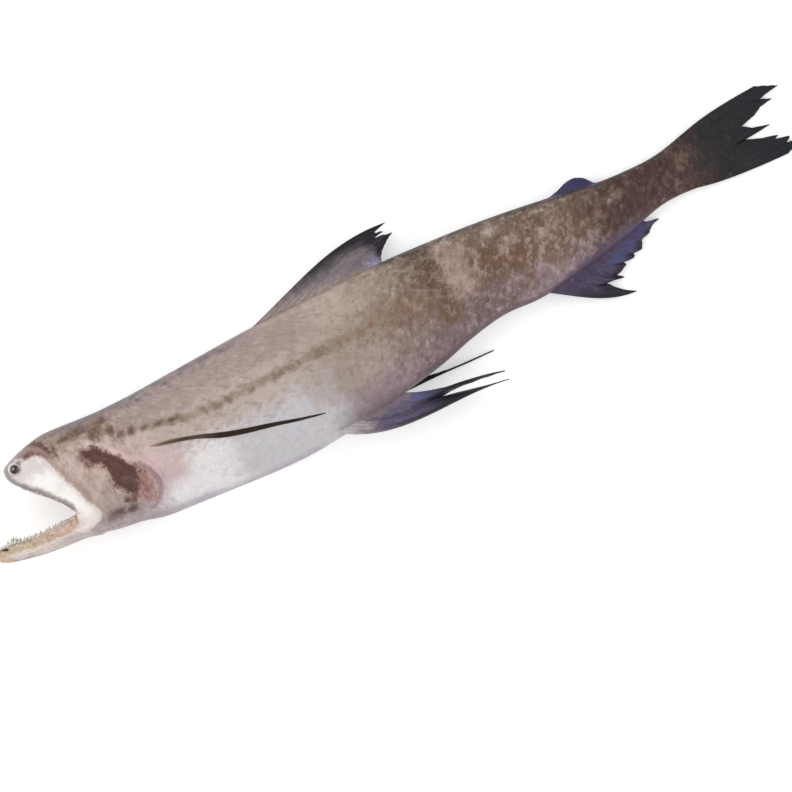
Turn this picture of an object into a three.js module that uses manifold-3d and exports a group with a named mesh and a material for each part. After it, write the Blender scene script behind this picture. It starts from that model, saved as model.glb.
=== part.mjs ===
// A whole raw bombay duck, 280 mm from the tip of its lower jaw to the end of its tail.
// It lies on its right side with its mouth open. X runs from head to tail, Y from belly to back, and Z is up.
// Body, jaws, gill covers, fins and teeth are one solid. Each eye is a solid of its own, in its socket.
// Lengths are millimetres. Until the last step, X is measured from the tip of the lower jaw,
// Y from the level of the mouth's corner, and Z from the table.
import * as THREE from "three";
import { mergeVertices } from "three/addons/utils/BufferGeometryUtils.js";
import Module from "manifold-3d";

const { clamp, lerp, mapLinear, smoothstep } = THREE.MathUtils;
const wasm = await Module();
wasm.setup();

const LEFT = 1;
const RIGHT = -1;
const UP = 1;
const DOWN = -1;

// Sections across the body, from front to back: [x, back, belly, half, middle].
// back and belly are the outline seen from the side. half is half the width.
// middle is the height of the plane between the two flanks.
const BODY = [
  [13.8, 21.2, 21.2, 0.0, 10.4],
  [14.2, 23.0, 18.8, 2.8, 10.4],
  [17.2, 24.8, 14.6, 5.9, 10.4],
  [24.0, 26.6, 7.4, 9.2, 10.5],
  [28.0, 27.1, 1.6, 10.4, 10.6],
  [32.0, 27.1, -7.6, 11.1, 10.6],
  [45.8, 25.9, -10.5, 12.8, 11.0],
  [62.7, 25.8, -13.3, 13.4, 11.5],
  [93.4, 27.0, -15.7, 13.5, 11.6],
  [124.2, 27.3, -13.6, 12.6, 10.8],
  [147.2, 27.0, -10.0, 11.0, 9.4],
  [161.1, 26.1, -6.5, 9.8, 8.4],
  [173.3, 25.1, -4.6, 8.8, 7.6],
  [185.6, 23.7, -5.2, 8.0, 6.9],
  [201.0, 21.4, -3.4, 6.8, 5.9],
  [216.4, 18.8, -0.2, 5.5, 4.8],
  [230.0, 17.9, 3.2, 4.5, 3.9],
  [241.0, 18.0, 4.0, 3.4, 3.0],
  [250.0, 17.2, 5.6, 2.2, 2.2],
  [257.0, 14.6, 8.6, 1.2, 1.8],
  [260.0, 11.6, 11.6, 0.0, 1.6],
];
const JAW = [
  [0.0, -0.6, -0.6, 0.0, 10.2],
  [0.6, 1.0, -2.3, 2.2, 10.2],
  [4.3, 1.6, -4.0, 4.5, 10.2],
  [15.1, 0.4, -6.3, 7.3, 10.3],
  [27.4, 1.0, -7.5, 9.8, 10.5],
  [34.0, 3.2, -8.4, 11.2, 10.6],
  [40.0, -2.4, -2.4, 0.0, 10.7],
];
// The hollow under the palate and the trough between the two sides of the lower jaw. Both end in the throat.
const PALATE = [
  [15.9, 16.0, 16.0, 0.0, 10.4],
  [17.0, 18.2, 13.2, 3.6, 10.4],
  [24.3, 13.2, 5.0, 7.2, 10.5],
  [32.0, 9.2, -2.6, 8.4, 10.6],
  [44.5, 4.8, -3.4, 5.4, 10.9],
  [47.5, 1.2, 1.2, 0.0, 11.0],
];
const TROUGH = [
  [2.6, 1.0, 1.0, 0.0, 10.2],
  [3.8, 3.4, -0.8, 2.3, 10.2],
  [7.6, 3.6, -2.5, 3.9, 10.3],
  [21.2, 2.8, -4.6, 6.8, 10.4],
  [33.5, 4.2, -5.4, 8.0, 10.6],
  [44.5, 1.4, -3.6, 5.0, 10.9],
  [47.5, -1.0, -1.0, 0.0, 11.0],
];

// How boxy a section is: 2 is an ellipse, and a high number is a rectangle, as at the rims of the mouth.
const ROUND = 2.35;
const BOXY = 7;
// Each rim is on the upper or lower side of its sections, and rises and fades along X as in span.
const NO_RIM = { side: "over", span: [-2, -1, -1, 0] };
const UPPER_RIM = { side: "under", span: [14, 19, 25, 36] };
const LOWER_RIM = { side: "over", span: [0, 6, 20, 34] };

const MOUTH_MIDDLE = 10.4;
const TONGUE = { x: 23, y: -3.9, length: 25, width: 6.4, height: 3.2 };
const TEETH = { radius: 0.45, length: 1.7, short: 0.75, sunk: 0.4, inset: 0.95, lean: 0.45 };
const UPPER_TEETH = { table: BODY, rim: UPPER_RIM, way: DOWN, from: 17.2, to: 25.0, count: 8 };
const LOWER_TEETH = { table: JAW, rim: LOWER_RIM, way: UP, from: 2.6, to: 24.5, count: 11 };
const EYE = { x: 17.2, y: 21.5, radius: 2.1, sunk: 1.0, gap: 0.35 };

// The gill cover's rim and centre seen from the side. It stands off the flank at the rear and is flush in front.
const GILL = {
  rim: [
    [32.0, 9.2], [35.7, 16.0], [40.6, 18.4], [46.1, 15.4], [51.3, 8.6], [55.3, 1.8],
    [55.6, -2.5], [52.9, -7.4], [47.9, -9.6], [39.6, -8.0], [33.2, -4.3], [31.0, 2.5],
  ],
  centre: [43.0, 3.5],
  lift: 1.0,
  liftFrom: 38,
  liftTo: 52,
  depth: 2.5,
  skinGap: 0.1,
};

// base runs from a fin's first ray to its last, and tips is the worn line of the ray ends in the same order.
// bow is how far the first and the last ray arch forward. thick is the thickness at the root and at the tips.
// root is the height of the root, where it isn't the body's middle, and drop is how far the tips sag below it.
const FINS = {
  back: {
    base: [[103.6, 25.6], [146.4, 25.2]],
    tips: [
      [153.7, 37.7], [148.6, 36.6], [151.5, 35.3], [148.6, 34.9],
      [154.3, 34.0], [152.1, 32.4], [149.7, 30.7], [147.6, 28.8],
    ],
    bow: [2.9, 0.4],
    thick: [3.0, 0.7],
    drop: 4.5,
  },
  small: {
    base: [[198.5, 19.6], [215.6, 17.0]],
    tips: [[202.5, 21.4], [205.6, 22.4], [208.7, 23.3], [211.2, 23.2], [213.4, 22.0], [216.4, 18.9]],
    bow: [0.3, 0.0],
    thick: [2.6, 1.0],
    drop: 0.6,
  },
  anal: {
    base: [[189.0, -3.6], [197.9, -2.2], [204.1, -0.6], [213.3, 1.4], [223.6, 3.2]],
    tips: [
      [213.6, -16.8], [209.3, -12.6], [206.2, -10.0], [211.8, -11.2], [210.2, -9.4], [214.5, -8.4],
      [213.9, -6.6], [217.6, -5.6], [218.4, -4.2], [221.6, -3.2], [222.8, -1.9], [228.7, 0.6], [225.6, 1.9],
    ],
    bow: [-2.1, -0.3],
    thick: [2.2, 0.7],
    drop: 3.2,
  },
  leftBelly: {
    base: [[109.0, -13.0], [128.4, -9.8]],
    tips: [
      [165.7, -23.2], [159.5, -21.2], [151.8, -19.8], [143.2, -18.2],
      [151.8, -18.4], [159.5, -19.1], [166.6, -20.1],
    ],
    bow: [-3.2, -0.2],
    thick: [3.0, 0.7],
    root: 14.6,
    drop: 8.0,
  },
  rightBelly: {
    base: [[109.0, -13.0], [128.0, -8.6]],
    tips: [[166.3, -12.8], [159.5, -12.5], [151.0, -10.4], [142.0, -8.0], [149.0, -7.2], [157.0, -6.2]],
    bow: [-1.6, 0.2],
    thick: [2.4, 0.8],
    root: 6.4,
    drop: 5.6,
  },
  tail: {
    base: [[238.5, 17.1], [246.0, 15.6], [249.5, 11.0], [246.0, 6.0], [238.5, 4.7]],
    tips: [
      [280.3, 20.3], [273.6, 19.0], [277.2, 17.4], [273.2, 16.9], [270.2, 15.4], [264.9, 14.1],
      [269.2, 12.6], [272.9, 10.7], [268.6, 10.2], [263.7, 10.0], [268.6, 8.1], [273.5, 6.8],
      [272.3, 5.9], [276.9, 4.6], [274.8, 3.1], [279.6, 1.2],
    ],
    bow: [4.2, -3.6],
    thick: [2.6, 0.7],
    drop: 1.6,
  },
};
const FIN_ROWS = 6;

// The breast fin is shut like a fan and lies along the flank as a thin strap.
// On the right side, which the fish lies on, it is level with the flat in a shallow pocket of its own.
const BREAST = {
  line: [[57.6, 8.8], [66.7, 7.0], [73.5, 4.1], [81.8, 0.6], [93.4, -2.8], [102.7, -5.2], [111.0, -6.5]],
  rootWidth: 4.4,
  bladeWidth: 1.5,
  tipWidth: 0.5,
  bladeFrom: 0.2,
  thick: 1.1,
  pocketGap: 0.4,
  pocketDepth: 0.5,
};

// Faces along and round each kind of shape.
const DETAIL = { body: [60, 28], jaw: [18, 20], palate: [15, 16], trough: [18, 16], gill: [10, 24], eye: [10, 14] };
const WELD = 1e-4;

// The section at a place along a table. Places are X, or 0 for the first section and 1 for the last.
function sectionReader(table, rim, byX) {
  const places = table.map(([x], i) => (byX ? x : i / (table.length - 1)));
  const spline = new THREE.CubicInterpolant(places, table.flat(), table[0].length);
  const [from, full, fading, gone] = rim.span;
  return (place) => {
    const [x, back, belly, half, middle] = spline.evaluate(clamp(place, places[0], places.at(-1)));
    const rise = smoothstep(x, from, full) * (1 - smoothstep(x, fading, gone));
    return { x, back, belly, half, middle, over: ROUND, under: ROUND, [rim.side]: lerp(ROUND, BOXY, rise) };
  };
}
const bodyAt = sectionReader(BODY, UPPER_RIM, true);

// A point on a section's outline. turn is 0 at the back, a quarter at the left flank and a half at the belly.
function outlinePoint(section, turn) {
  const up = Math.cos(turn * 2 * Math.PI);
  const aside = Math.sin(turn * 2 * Math.PI);
  const power = 2 / (up > 0 ? section.over : section.under);
  const centre = (section.back + section.belly) / 2;
  const reach = (section.back - section.belly) / 2;
  const y = centre + reach * Math.sign(up) * Math.abs(up) ** power;
  const z = section.middle + section.half * Math.sign(aside) * Math.abs(aside) ** power;
  return new THREE.Vector3(section.x, y, Math.max(z, 0));
}

// How far round a boxy section is at a share of its reach.
function roundOff(share, boxy) {
  return (1 - Math.abs(share) ** boxy) ** (1 / boxy);
}

// Height of a flank over the table at a point seen from the side.
function flankHeight(x, y, flank) {
  const { back, belly, half, middle, over, under } = bodyAt(x);
  const share = clamp((2 * y - back - belly) / (back - belly), -1, 1);
  return Math.max(middle + flank * half * roundOff(share, share > 0 ? over : under), 0);
}

// Level of a section's upper or lower side at a distance from the middle plane.
function rimLevel({ back, belly, half, over, under }, aside, way) {
  const reach = (back - belly) / 2;
  return (back + belly) / 2 + way * reach * roundOff(aside / half, way === UP ? over : under);
}

// Moves every corner of a closed three.js shape by a rule, keeping it closed.
function reshape(geometry, rule) {
  geometry.deleteAttribute("normal");
  geometry.deleteAttribute("uv");
  const merged = mergeVertices(geometry, WELD);
  const corners = merged.attributes.position;
  const corner = new THREE.Vector3();
  for (let i = 0; i < corners.count; i++) {
    const moved = rule(corner.fromBufferAttribute(corners, i));
    corners.setXYZ(i, moved.x, moved.y, moved.z);
  }
  return merged;
}

// Makes a solid that can be joined and cut. A rule that mirrors a shape turns its faces in, so they are turned back.
function solid(geometry) {
  const merged = mergeVertices(geometry, WELD);
  const triVerts = new Uint32Array(merged.index.array);
  const vertProperties = new Float32Array(merged.attributes.position.array);
  const made = new wasm.Manifold(new wasm.Mesh({ numProp: 3, vertProperties, triVerts }));
  if (made.volume() > 0) return made;
  const turned = triVerts.map((_, i) => triVerts[i - (i % 3) + 2 - (i % 3)]);
  return new wasm.Manifold(new wasm.Mesh({ numProp: 3, vertProperties, triVerts: turned }));
}

const shaped = (geometry, rule) => solid(reshape(geometry, rule));
const asMade = (corner) => corner;

// A ball drawn out along a table of sections.
function loft(table, rim, [rings, sides]) {
  const read = sectionReader(table, rim, false);
  return shaped(new THREE.SphereGeometry(1, sides, rings), (corner) => {
    const place = Math.acos(clamp(corner.y, -1, 1)) / Math.PI;
    const turn = Math.atan2(corner.x, corner.z) / (2 * Math.PI);
    return outlinePoint(read(place), turn);
  });
}

// A point on the straight stretches between points seen from the side.
function along(points, share) {
  const scaled = share * (points.length - 1);
  const first = Math.min(Math.floor(scaled), points.length - 2);
  return points[first].map((value, i) => lerp(value, points[first + 1][i], scaled - first));
}

// A fin: a thin plate with one column of faces between two neighbouring points of its worn edge.
function fin({ base, tips, bow, thick, root, drop }) {
  return shaped(new THREE.BoxGeometry(1, 1, 1, tips.length - 1, FIN_ROWS, 1), (corner) => {
    const across = corner.x + 0.5;
    const out = corner.y + 0.5;
    const from = along(base, across);
    const to = along(tips, across);
    const dx = to[0] - from[0];
    const dy = to[1] - from[1];
    const arch = (4 * out * (1 - out) * lerp(...bow, across)) / Math.hypot(dx, dy);
    const x = from[0] + dx * out - dy * arch;
    const y = from[1] + dy * out + dx * arch;
    const half = lerp(thick[1], thick[0], (1 - out) ** 2) / 2;
    const centre = Math.max((root ?? bodyAt(x).middle) - drop * out ** 2, half);
    return new THREE.Vector3(x, y, centre + Math.sign(corner.z) * half);
  });
}

// The shut breast fin on one flank, grown all round by gap. It stands proud of the left flank by half of thick.
function breastFin(flank, gap, thick) {
  const line = new THREE.SplineCurve(BREAST.line.map(([x, y]) => new THREE.Vector2(x, y)));
  return shaped(new THREE.BoxGeometry(1, 1, 1, 14, 2, 1), (corner) => {
    const share = corner.x + 0.5;
    const point = line.getPoint(share);
    const way = line.getTangent(share);
    const width = share < BREAST.bladeFrom
      ? mapLinear(share, 0, BREAST.bladeFrom, BREAST.rootWidth, BREAST.bladeWidth)
      : mapLinear(share, BREAST.bladeFrom, 1, BREAST.bladeWidth, BREAST.tipWidth);
    const aside = corner.y * (width + 2 * gap);
    const beyond = share < 0.01 ? -gap : share > 0.99 ? gap : 0;
    const x = point.x - way.y * aside + way.x * beyond;
    const y = point.y + way.x * aside + way.y * beyond;
    const skin = flankHeight(x, y, flank);
    const inner = flank === LEFT ? skin - thick / 2 : skin + thick;
    const outer = flank === LEFT ? skin + (thick / 2) * (1 - Math.abs(corner.y)) : skin;
    return new THREE.Vector3(x, y, corner.z > 0 ? outer : inner);
  });
}

// A shallow shield over the flank. Its back goes into the body, so that it joins all over.
function gillCover(flank) {
  const rim = new THREE.SplineCurve([...GILL.rim, GILL.rim[0]].map(([x, y]) => new THREE.Vector2(x, y)));
  const [rings, sides] = DETAIL.gill;
  return shaped(new THREE.SphereGeometry(1, sides, rings), (corner) => {
    const out = Math.min(Math.hypot(corner.x, corner.z), 1);
    const turn = (Math.atan2(corner.z, corner.x) / (2 * Math.PI) + 1) % 1;
    const edge = rim.getPoint(turn);
    const x = lerp(GILL.centre[0], edge.x, out);
    const y = lerp(GILL.centre[1], edge.y, out);
    const lift = GILL.lift * smoothstep(x, GILL.liftFrom, GILL.liftTo) * (1 - out ** 8);
    const off = corner.y > 0 ? lift - GILL.skinGap / 2 : -GILL.depth * (1 - out ** 4) - GILL.skinGap;
    return new THREE.Vector3(x, y, Math.max(flankHeight(x, y, flank) + flank * off, 0));
  });
}

// A ball in the eye's place, sunk into the head.
function eyeBall(flank, radius) {
  const [rings, sides] = DETAIL.eye;
  const height = flankHeight(EYE.x, EYE.y, flank) - flank * EYE.sunk;
  return shaped(new THREE.SphereGeometry(radius, sides, rings).translate(EYE.x, EYE.y, height), asMade);
}

function tongue() {
  const ball = new THREE.SphereGeometry(0.5, 12, 8).scale(TONGUE.length, TONGUE.height, TONGUE.width);
  return shaped(ball.translate(TONGUE.x, TONGUE.y, MOUTH_MIDDLE), asMade);
}

// One tooth of a row on a jaw's rim. Every other one is short, and all lean back into the mouth.
function tooth({ table, rim, way, from, to, count }, number, flank) {
  const section = sectionReader(table, rim, true)(lerp(from, to, number / (count - 1)));
  const aside = section.half - TEETH.inset;
  const length = TEETH.length * (number % 2 ? TEETH.short : 1);
  const cone = new THREE.ConeGeometry(TEETH.radius, length, 4);
  cone.translate(0, length / 2 - TEETH.sunk, 0);
  cone.rotateZ(way === UP ? -TEETH.lean : Math.PI + TEETH.lean);
  cone.translate(section.x, rimLevel(section, aside, way), section.middle + flank * aside);
  return shaped(cone, asMade);
}

function teeth(row, flank) {
  return Array.from({ length: row.count }, (_, number) => tooth(row, number, flank));
}

function wholeFish() {
  const jaws = loft(BODY, UPPER_RIM, DETAIL.body).add(loft(JAW, LOWER_RIM, DETAIL.jaw));
  const hollows = [loft(PALATE, NO_RIM, DETAIL.palate), loft(TROUGH, NO_RIM, DETAIL.trough)];
  const onFlanks = [LEFT, RIGHT].flatMap((flank) => [
    gillCover(flank),
    ...teeth(UPPER_TEETH, flank),
    ...teeth(LOWER_TEETH, flank),
  ]);
  const added = [tongue(), ...onFlanks, ...Object.values(FINS).map(fin), breastFin(LEFT, 0, BREAST.thick)];
  const pocket = breastFin(RIGHT, BREAST.pocketGap, BREAST.pocketDepth);
  const sockets = [LEFT, RIGHT].map((flank) => eyeBall(flank, EYE.radius + EYE.gap));
  let fish = jaws;
  for (const hollow of hollows) fish = fish.subtract(hollow);
  for (const piece of added) fish = fish.add(piece);
  fish = fish.subtract(pocket).add(breastFin(RIGHT, 0, BREAST.thick));
  for (const socket of sockets) fish = fish.subtract(socket);
  return fish;
}

function meshOf(name, made, look) {
  const { vertProperties, triVerts } = made.getMesh();
  const geometry = new THREE.BufferGeometry();
  geometry.setAttribute("position", new THREE.BufferAttribute(new Float32Array(vertProperties), 3));
  geometry.setIndex(new THREE.BufferAttribute(new Uint32Array(triVerts), 1));
  geometry.computeVertexNormals();
  const mesh = new THREE.Mesh(geometry, new THREE.MeshStandardMaterial(look));
  mesh.name = name;
  return mesh;
}

const SKIN = { color: 0x9b8a80, roughness: 0.45, metalness: 0 };
const EYEBALL = { color: 0x1c1a1c, roughness: 0.15, metalness: 0 };

const bombayDuck = new THREE.Group();
bombayDuck.add(meshOf("fish", wholeFish(), SKIN));
bombayDuck.add(meshOf("eye_left", eyeBall(LEFT, EYE.radius), EYEBALL));
bombayDuck.add(meshOf("eye_right", eyeBall(RIGHT, EYE.radius), EYEBALL));

// The origin goes to the middle of the fish, on the table.
const box = new THREE.Box3().setFromObject(bombayDuck);
const middle = box.getCenter(new THREE.Vector3());
bombayDuck.position.set(-middle.x, -middle.y, -box.min.z);

export default bombayDuck;
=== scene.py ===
"""A whole raw bombay duck on its right side, its mouth wide open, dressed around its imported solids.

Shapes are worked out in the fish's own millimetres: x from the tip of the lower jaw towards the tail,
y from the level of the mouth's corner towards the back, and z up from the table.
finish_piece() takes each piece to the frame's metres.
"""
import math
from types import SimpleNamespace

import bpy
import numpy as np
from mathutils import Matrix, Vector


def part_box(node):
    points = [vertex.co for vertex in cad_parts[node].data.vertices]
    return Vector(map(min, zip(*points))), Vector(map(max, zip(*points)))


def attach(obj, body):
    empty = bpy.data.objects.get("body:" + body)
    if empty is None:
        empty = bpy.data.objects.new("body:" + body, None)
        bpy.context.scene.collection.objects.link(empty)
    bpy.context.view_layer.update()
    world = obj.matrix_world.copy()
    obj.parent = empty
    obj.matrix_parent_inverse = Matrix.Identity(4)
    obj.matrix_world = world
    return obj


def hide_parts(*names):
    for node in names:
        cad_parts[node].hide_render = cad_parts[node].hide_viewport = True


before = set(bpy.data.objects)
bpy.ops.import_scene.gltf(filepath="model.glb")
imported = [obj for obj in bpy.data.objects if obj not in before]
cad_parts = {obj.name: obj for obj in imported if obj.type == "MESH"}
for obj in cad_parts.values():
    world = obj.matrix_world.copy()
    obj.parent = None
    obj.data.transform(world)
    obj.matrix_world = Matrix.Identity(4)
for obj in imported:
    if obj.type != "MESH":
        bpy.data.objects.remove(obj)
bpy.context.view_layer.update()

# ---------------------------------------------------------------- the fish's own frame

MM = 0.001
BACK_FIN_TOP = 37.7  # the highest y of the fish
FISH_LOW, FISH_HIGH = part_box("fish")
ORIGIN = np.array([FISH_LOW.x, FISH_HIGH.y - BACK_FIN_TOP * MM, FISH_LOW.z])
LEFT, RIGHT = 1, -1
UP, DOWN = 1, -1
SEED = 7
random = np.random.default_rng(SEED)

# ---------------------------------------------------------------- driving sizes, as the solids have them

# Sections across the body, from front to back: x, back, belly, half the width, height of the middle plane.
BODY = [
    (13.8, 21.2, 21.2, 0.0, 10.4),
    (14.2, 22.7, 18.8, 2.8, 10.4),
    (17.2, 24.3, 14.6, 5.9, 10.4),
    (24.0, 26.3, 7.4, 9.2, 10.5),
    (28.0, 27.0, 1.6, 10.4, 10.6),
    (32.0, 27.1, -7.6, 11.1, 10.6),
    (45.8, 25.9, -10.9, 12.8, 11.0),
    (53.0, 25.7, -12.7, 13.2, 11.2),
    (62.7, 25.8, -13.6, 13.4, 11.5),
    (93.4, 27.0, -16.0, 13.5, 11.6),
    (110.0, 27.3, -15.5, 13.2, 11.3),
    (124.2, 27.3, -13.6, 12.6, 10.8),
    (147.2, 27.0, -10.0, 11.0, 9.4),
    (161.1, 26.1, -6.5, 9.8, 8.4),
    (173.3, 25.1, -4.6, 8.8, 7.6),
    (185.6, 23.7, -5.2, 8.0, 6.9),
    (201.0, 21.4, -3.4, 6.8, 5.9),
    (216.4, 18.8, -0.2, 5.5, 4.8),
    (230.0, 17.9, 3.2, 4.5, 3.9),
    (237.0, 18.2, 3.7, 3.8, 3.4),
    (242.0, 19.1, 3.4, 3.1, 2.9),
    (247.0, 20.3, 2.9, 2.1, 2.3),
    (251.0, 20.9, 2.7, 1.35, 2.0),
    (255.0, 20.6, 3.0, 0.65, 1.8),
    (258.0, 19.0, 4.6, 0.3, 1.7),
    (260.0, 15.8, 7.8, 0.15, 1.6),
    (261.0, 11.8, 11.8, 0.0, 1.6),
]
JAW = [
    (0.0, -0.6, -0.6, 0.0, 10.2),
    (0.6, 1.0, -2.3, 2.2, 10.2),
    (4.3, 1.6, -4.0, 4.5, 10.2),
    (15.1, 0.4, -6.3, 7.3, 10.3),
    (27.4, 1.0, -7.5, 9.8, 10.5),
    (34.0, 3.2, -8.4, 11.2, 10.6),
    (40.0, -2.4, -2.4, 0.0, 10.7),
]
PALATE = [
    (15.9, 16.0, 16.0, 0.0, 10.4),
    (17.0, 18.2, 13.2, 3.6, 10.4),
    (24.3, 13.2, 5.0, 7.2, 10.5),
    (32.0, 9.2, -2.6, 8.4, 10.6),
    (44.5, 4.8, -3.4, 5.4, 10.9),
    (47.5, 1.2, 1.2, 0.0, 11.0),
]
TROUGH = [
    (2.6, 1.0, 1.0, 0.0, 10.2),
    (3.8, 3.4, -0.8, 2.3, 10.2),
    (7.6, 3.6, -2.5, 3.9, 10.3),
    (21.2, 2.8, -4.6, 6.8, 10.4),
    (33.5, 4.2, -5.4, 8.0, 10.6),
    (44.5, 1.4, -3.6, 5.0, 10.9),
    (47.5, -1.0, -1.0, 0.0, 11.0),
]
# How boxy a section is: 2 is an ellipse. The rims of the mouth are boxy where span says.
ROUND, BOXY = 2.35, 7.0
NO_RIM = {"side": None, "span": (0, 1, 2, 3)}
UPPER_RIM = {"side": "under", "span": (14, 19, 25, 36)}
LOWER_RIM = {"side": "over", "span": (0, 6, 20, 34)}

# glint gives the place on the eyeball where a highlight is painted.
EYE = {"x": 17.4, "y": 21.35, "radius": 2.1, "sunk": 1.0, "glint": (-0.12, 0.12)}
TONGUE = {"x": 23, "y": -3.9, "length": 25, "width": 6.4, "height": 3.2}
MOUTH_MIDDLE = 10.4

# Lines of the head and flank, seen from the side.
LINES = {
    "lip": [
        (20.5, 25.2), (17.0, 24.2), (14.9, 22.8), (14.4, 20.6), (15.4, 17.6),
        (17.6, 14.8), (19.6, 12.9), (22.2, 10.2), (25.0, 6.7), (28.0, 2.6),
    ],
    "ridge": [
        (21.5, 24.4), (24, 24.8), (26.6, 23.4), (28.2, 20.6), (29.2, 17.2),
        (30.6, 13.0), (32.2, 9.2), (33.4, 5.8), (33.9, 3.2),
    ],
    "fold": [(28.6, 1.8), (30.6, -0.6), (31.6, -3.0), (29.4, -5.0), (25.8, -4.4)],
    "gill_rim": [(41.0, 18.0), (44.4, 15.2), (47.6, 11.8), (50.2, 9.0), (52.8, 6.4), (55.0, 3.0)],
    # A shadow is painted along this line, under the gill cover's rear edge.
    "gill_edge_shadow": [(52.2, 5.4), (54.4, 2.6), (55.6, -0.6), (55.3, -3.6), (53.8, -6.2), (51.2, -8.2)],
    "lateral_line": [
        (38, 21.5), (44, 20.0), (49.5, 17.6), (55, 15.6), (60, 14.4), (66, 13.2), (73, 11.7),
        (84, 10.9), (111, 11.0), (148, 11.0), (173, 9.6), (201, 8.9), (231, 10.3), (256, 11.4),
    ],
}
# How far some of them stand out of the skin, and half their width.
RAISED_LINES = {"lip": (0.30, 0.75), "ridge": (0.42, 0.9), "fold": (0.35, 0.8)}
PATCHES = {
    "white": [
        (16.0, 20.3), (18.4, 23.4), (21.5, 23.7), (25.4, 22.4), (27.4, 19.6), (28.4, 16.2),
        (29.6, 12.8), (31.2, 9.0), (32.4, 5.6), (33.6, 2.0), (34.8, -1.0), (35.2, -2.8),
        (33.8, -4.4), (31.0, -5.6), (28.0, -5.6), (25.6, -4.0), (27.4, -2.6), (28.4, -0.4),
        (28.2, 2.5), (25.8, 6.1), (22.7, 10.4), (19.7, 13.8), (16.6, 17.4),
    ],
    "gill_cover": [
        (32.0, 9.2), (35.7, 16.0), (40.6, 18.4), (46.1, 15.4), (51.3, 8.6), (55.3, 1.8),
        (55.6, -2.5), (52.9, -7.4), (47.9, -9.6), (39.6, -8.0), (33.2, -4.3), (31.0, 2.5),
    ],
    # The gill hollow: pressed into the skin, and painted with the gill's colour and with shade.
    "hollow": [
        (37.4, 18.0), (39.6, 16.8), (41.8, 17.0), (44.6, 13.5), (47.0, 11.0), (49.2, 8.0), (50.9, 4.8),
        (51.2, 2.6), (50.0, 0.2), (48.8, -1.6), (47.6, -3.0), (46.2, -1.6), (44.8, 1.0), (43.0, 3.6),
        (42.8, 6.6), (43.2, 9.0), (41.4, 11.0), (39.4, 12.6), (38.4, 14.8),
    ],
    "flesh": [(49.4, 1.6), (52.6, 3.4), (54.4, -0.6), (53.6, -4.6), (50.6, -6.2), (48.4, -3.6)],
    "crown": [
        (20.4, 25.0), (22.4, 26.0), (25.4, 25.9), (27.8, 24.6), (29.2, 22.2), (29.3, 19.6),
        (28.0, 19.8), (27.0, 21.4), (24.2, 22.9), (21.4, 23.4),
    ],
}
# Soft spots: middle x and y, and how far they reach along x and y.
SPOTS = {
    "brown": [
        (44.7, 20.2, 3.2, 3.4), (39.6, 23.0, 3.0, 1.8), (48.8, 18.4, 1.6, 2.2), (51.4, 16.4, 1.7, 1.3),
        (55.0, 15.4, 1.9, 1.5), (58.8, 14.8, 1.9, 1.1), (35.0, 22.6, 2.8, 1.1), (47.6, 22.4, 2.4, 1.2),
        (40.2, -4.9, 3.6, 1.5), (44.6, -5.4, 2.7, 1.7), (46.2, -3.2, 1.5, 2.0), (38.4, 12.6, 1.3, 1.7),
        (30.9, 20.6, 0.9, 2.4), (38.2, 15.0, 2.2, 1.6), (44.4, -2.6, 1.4, 1.4), (63.4, 13.8, 2.0, 0.9),
        (67.8, 13.0, 2.0, 0.9),
    ],
    # Pale patches of the skin. The one by the breast fin's root is a painted highlight.
    "pale": [
        (165.8, 12.2, 4.2, 6.4), (196.6, 12.0, 6.4, 4.6), (124.2, 18.8, 6.4, 5.2), (180.0, 20.5, 4.0, 2.4),
        (34.2, 11.4, 1.2, 4.4), (64.6, 9.4, 2.4, 1.8), (108.6, -1.0, 0.9, 5.4), (184.5, 15.5, 3.4, 2.6),
        (218.0, 12.4, 2.6, 1.6),
    ],
    # Painted shade beside the eye, towards the tail.
    "eye_socket_shade": [(19.1, 22.5, 1.5, 0.9)],
    "rosy": [(40.4, 9.4, 2.6, 2.2)],
}
NOSTRILS = [(15.3, 22.6), (16.0, 23.7)]

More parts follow.
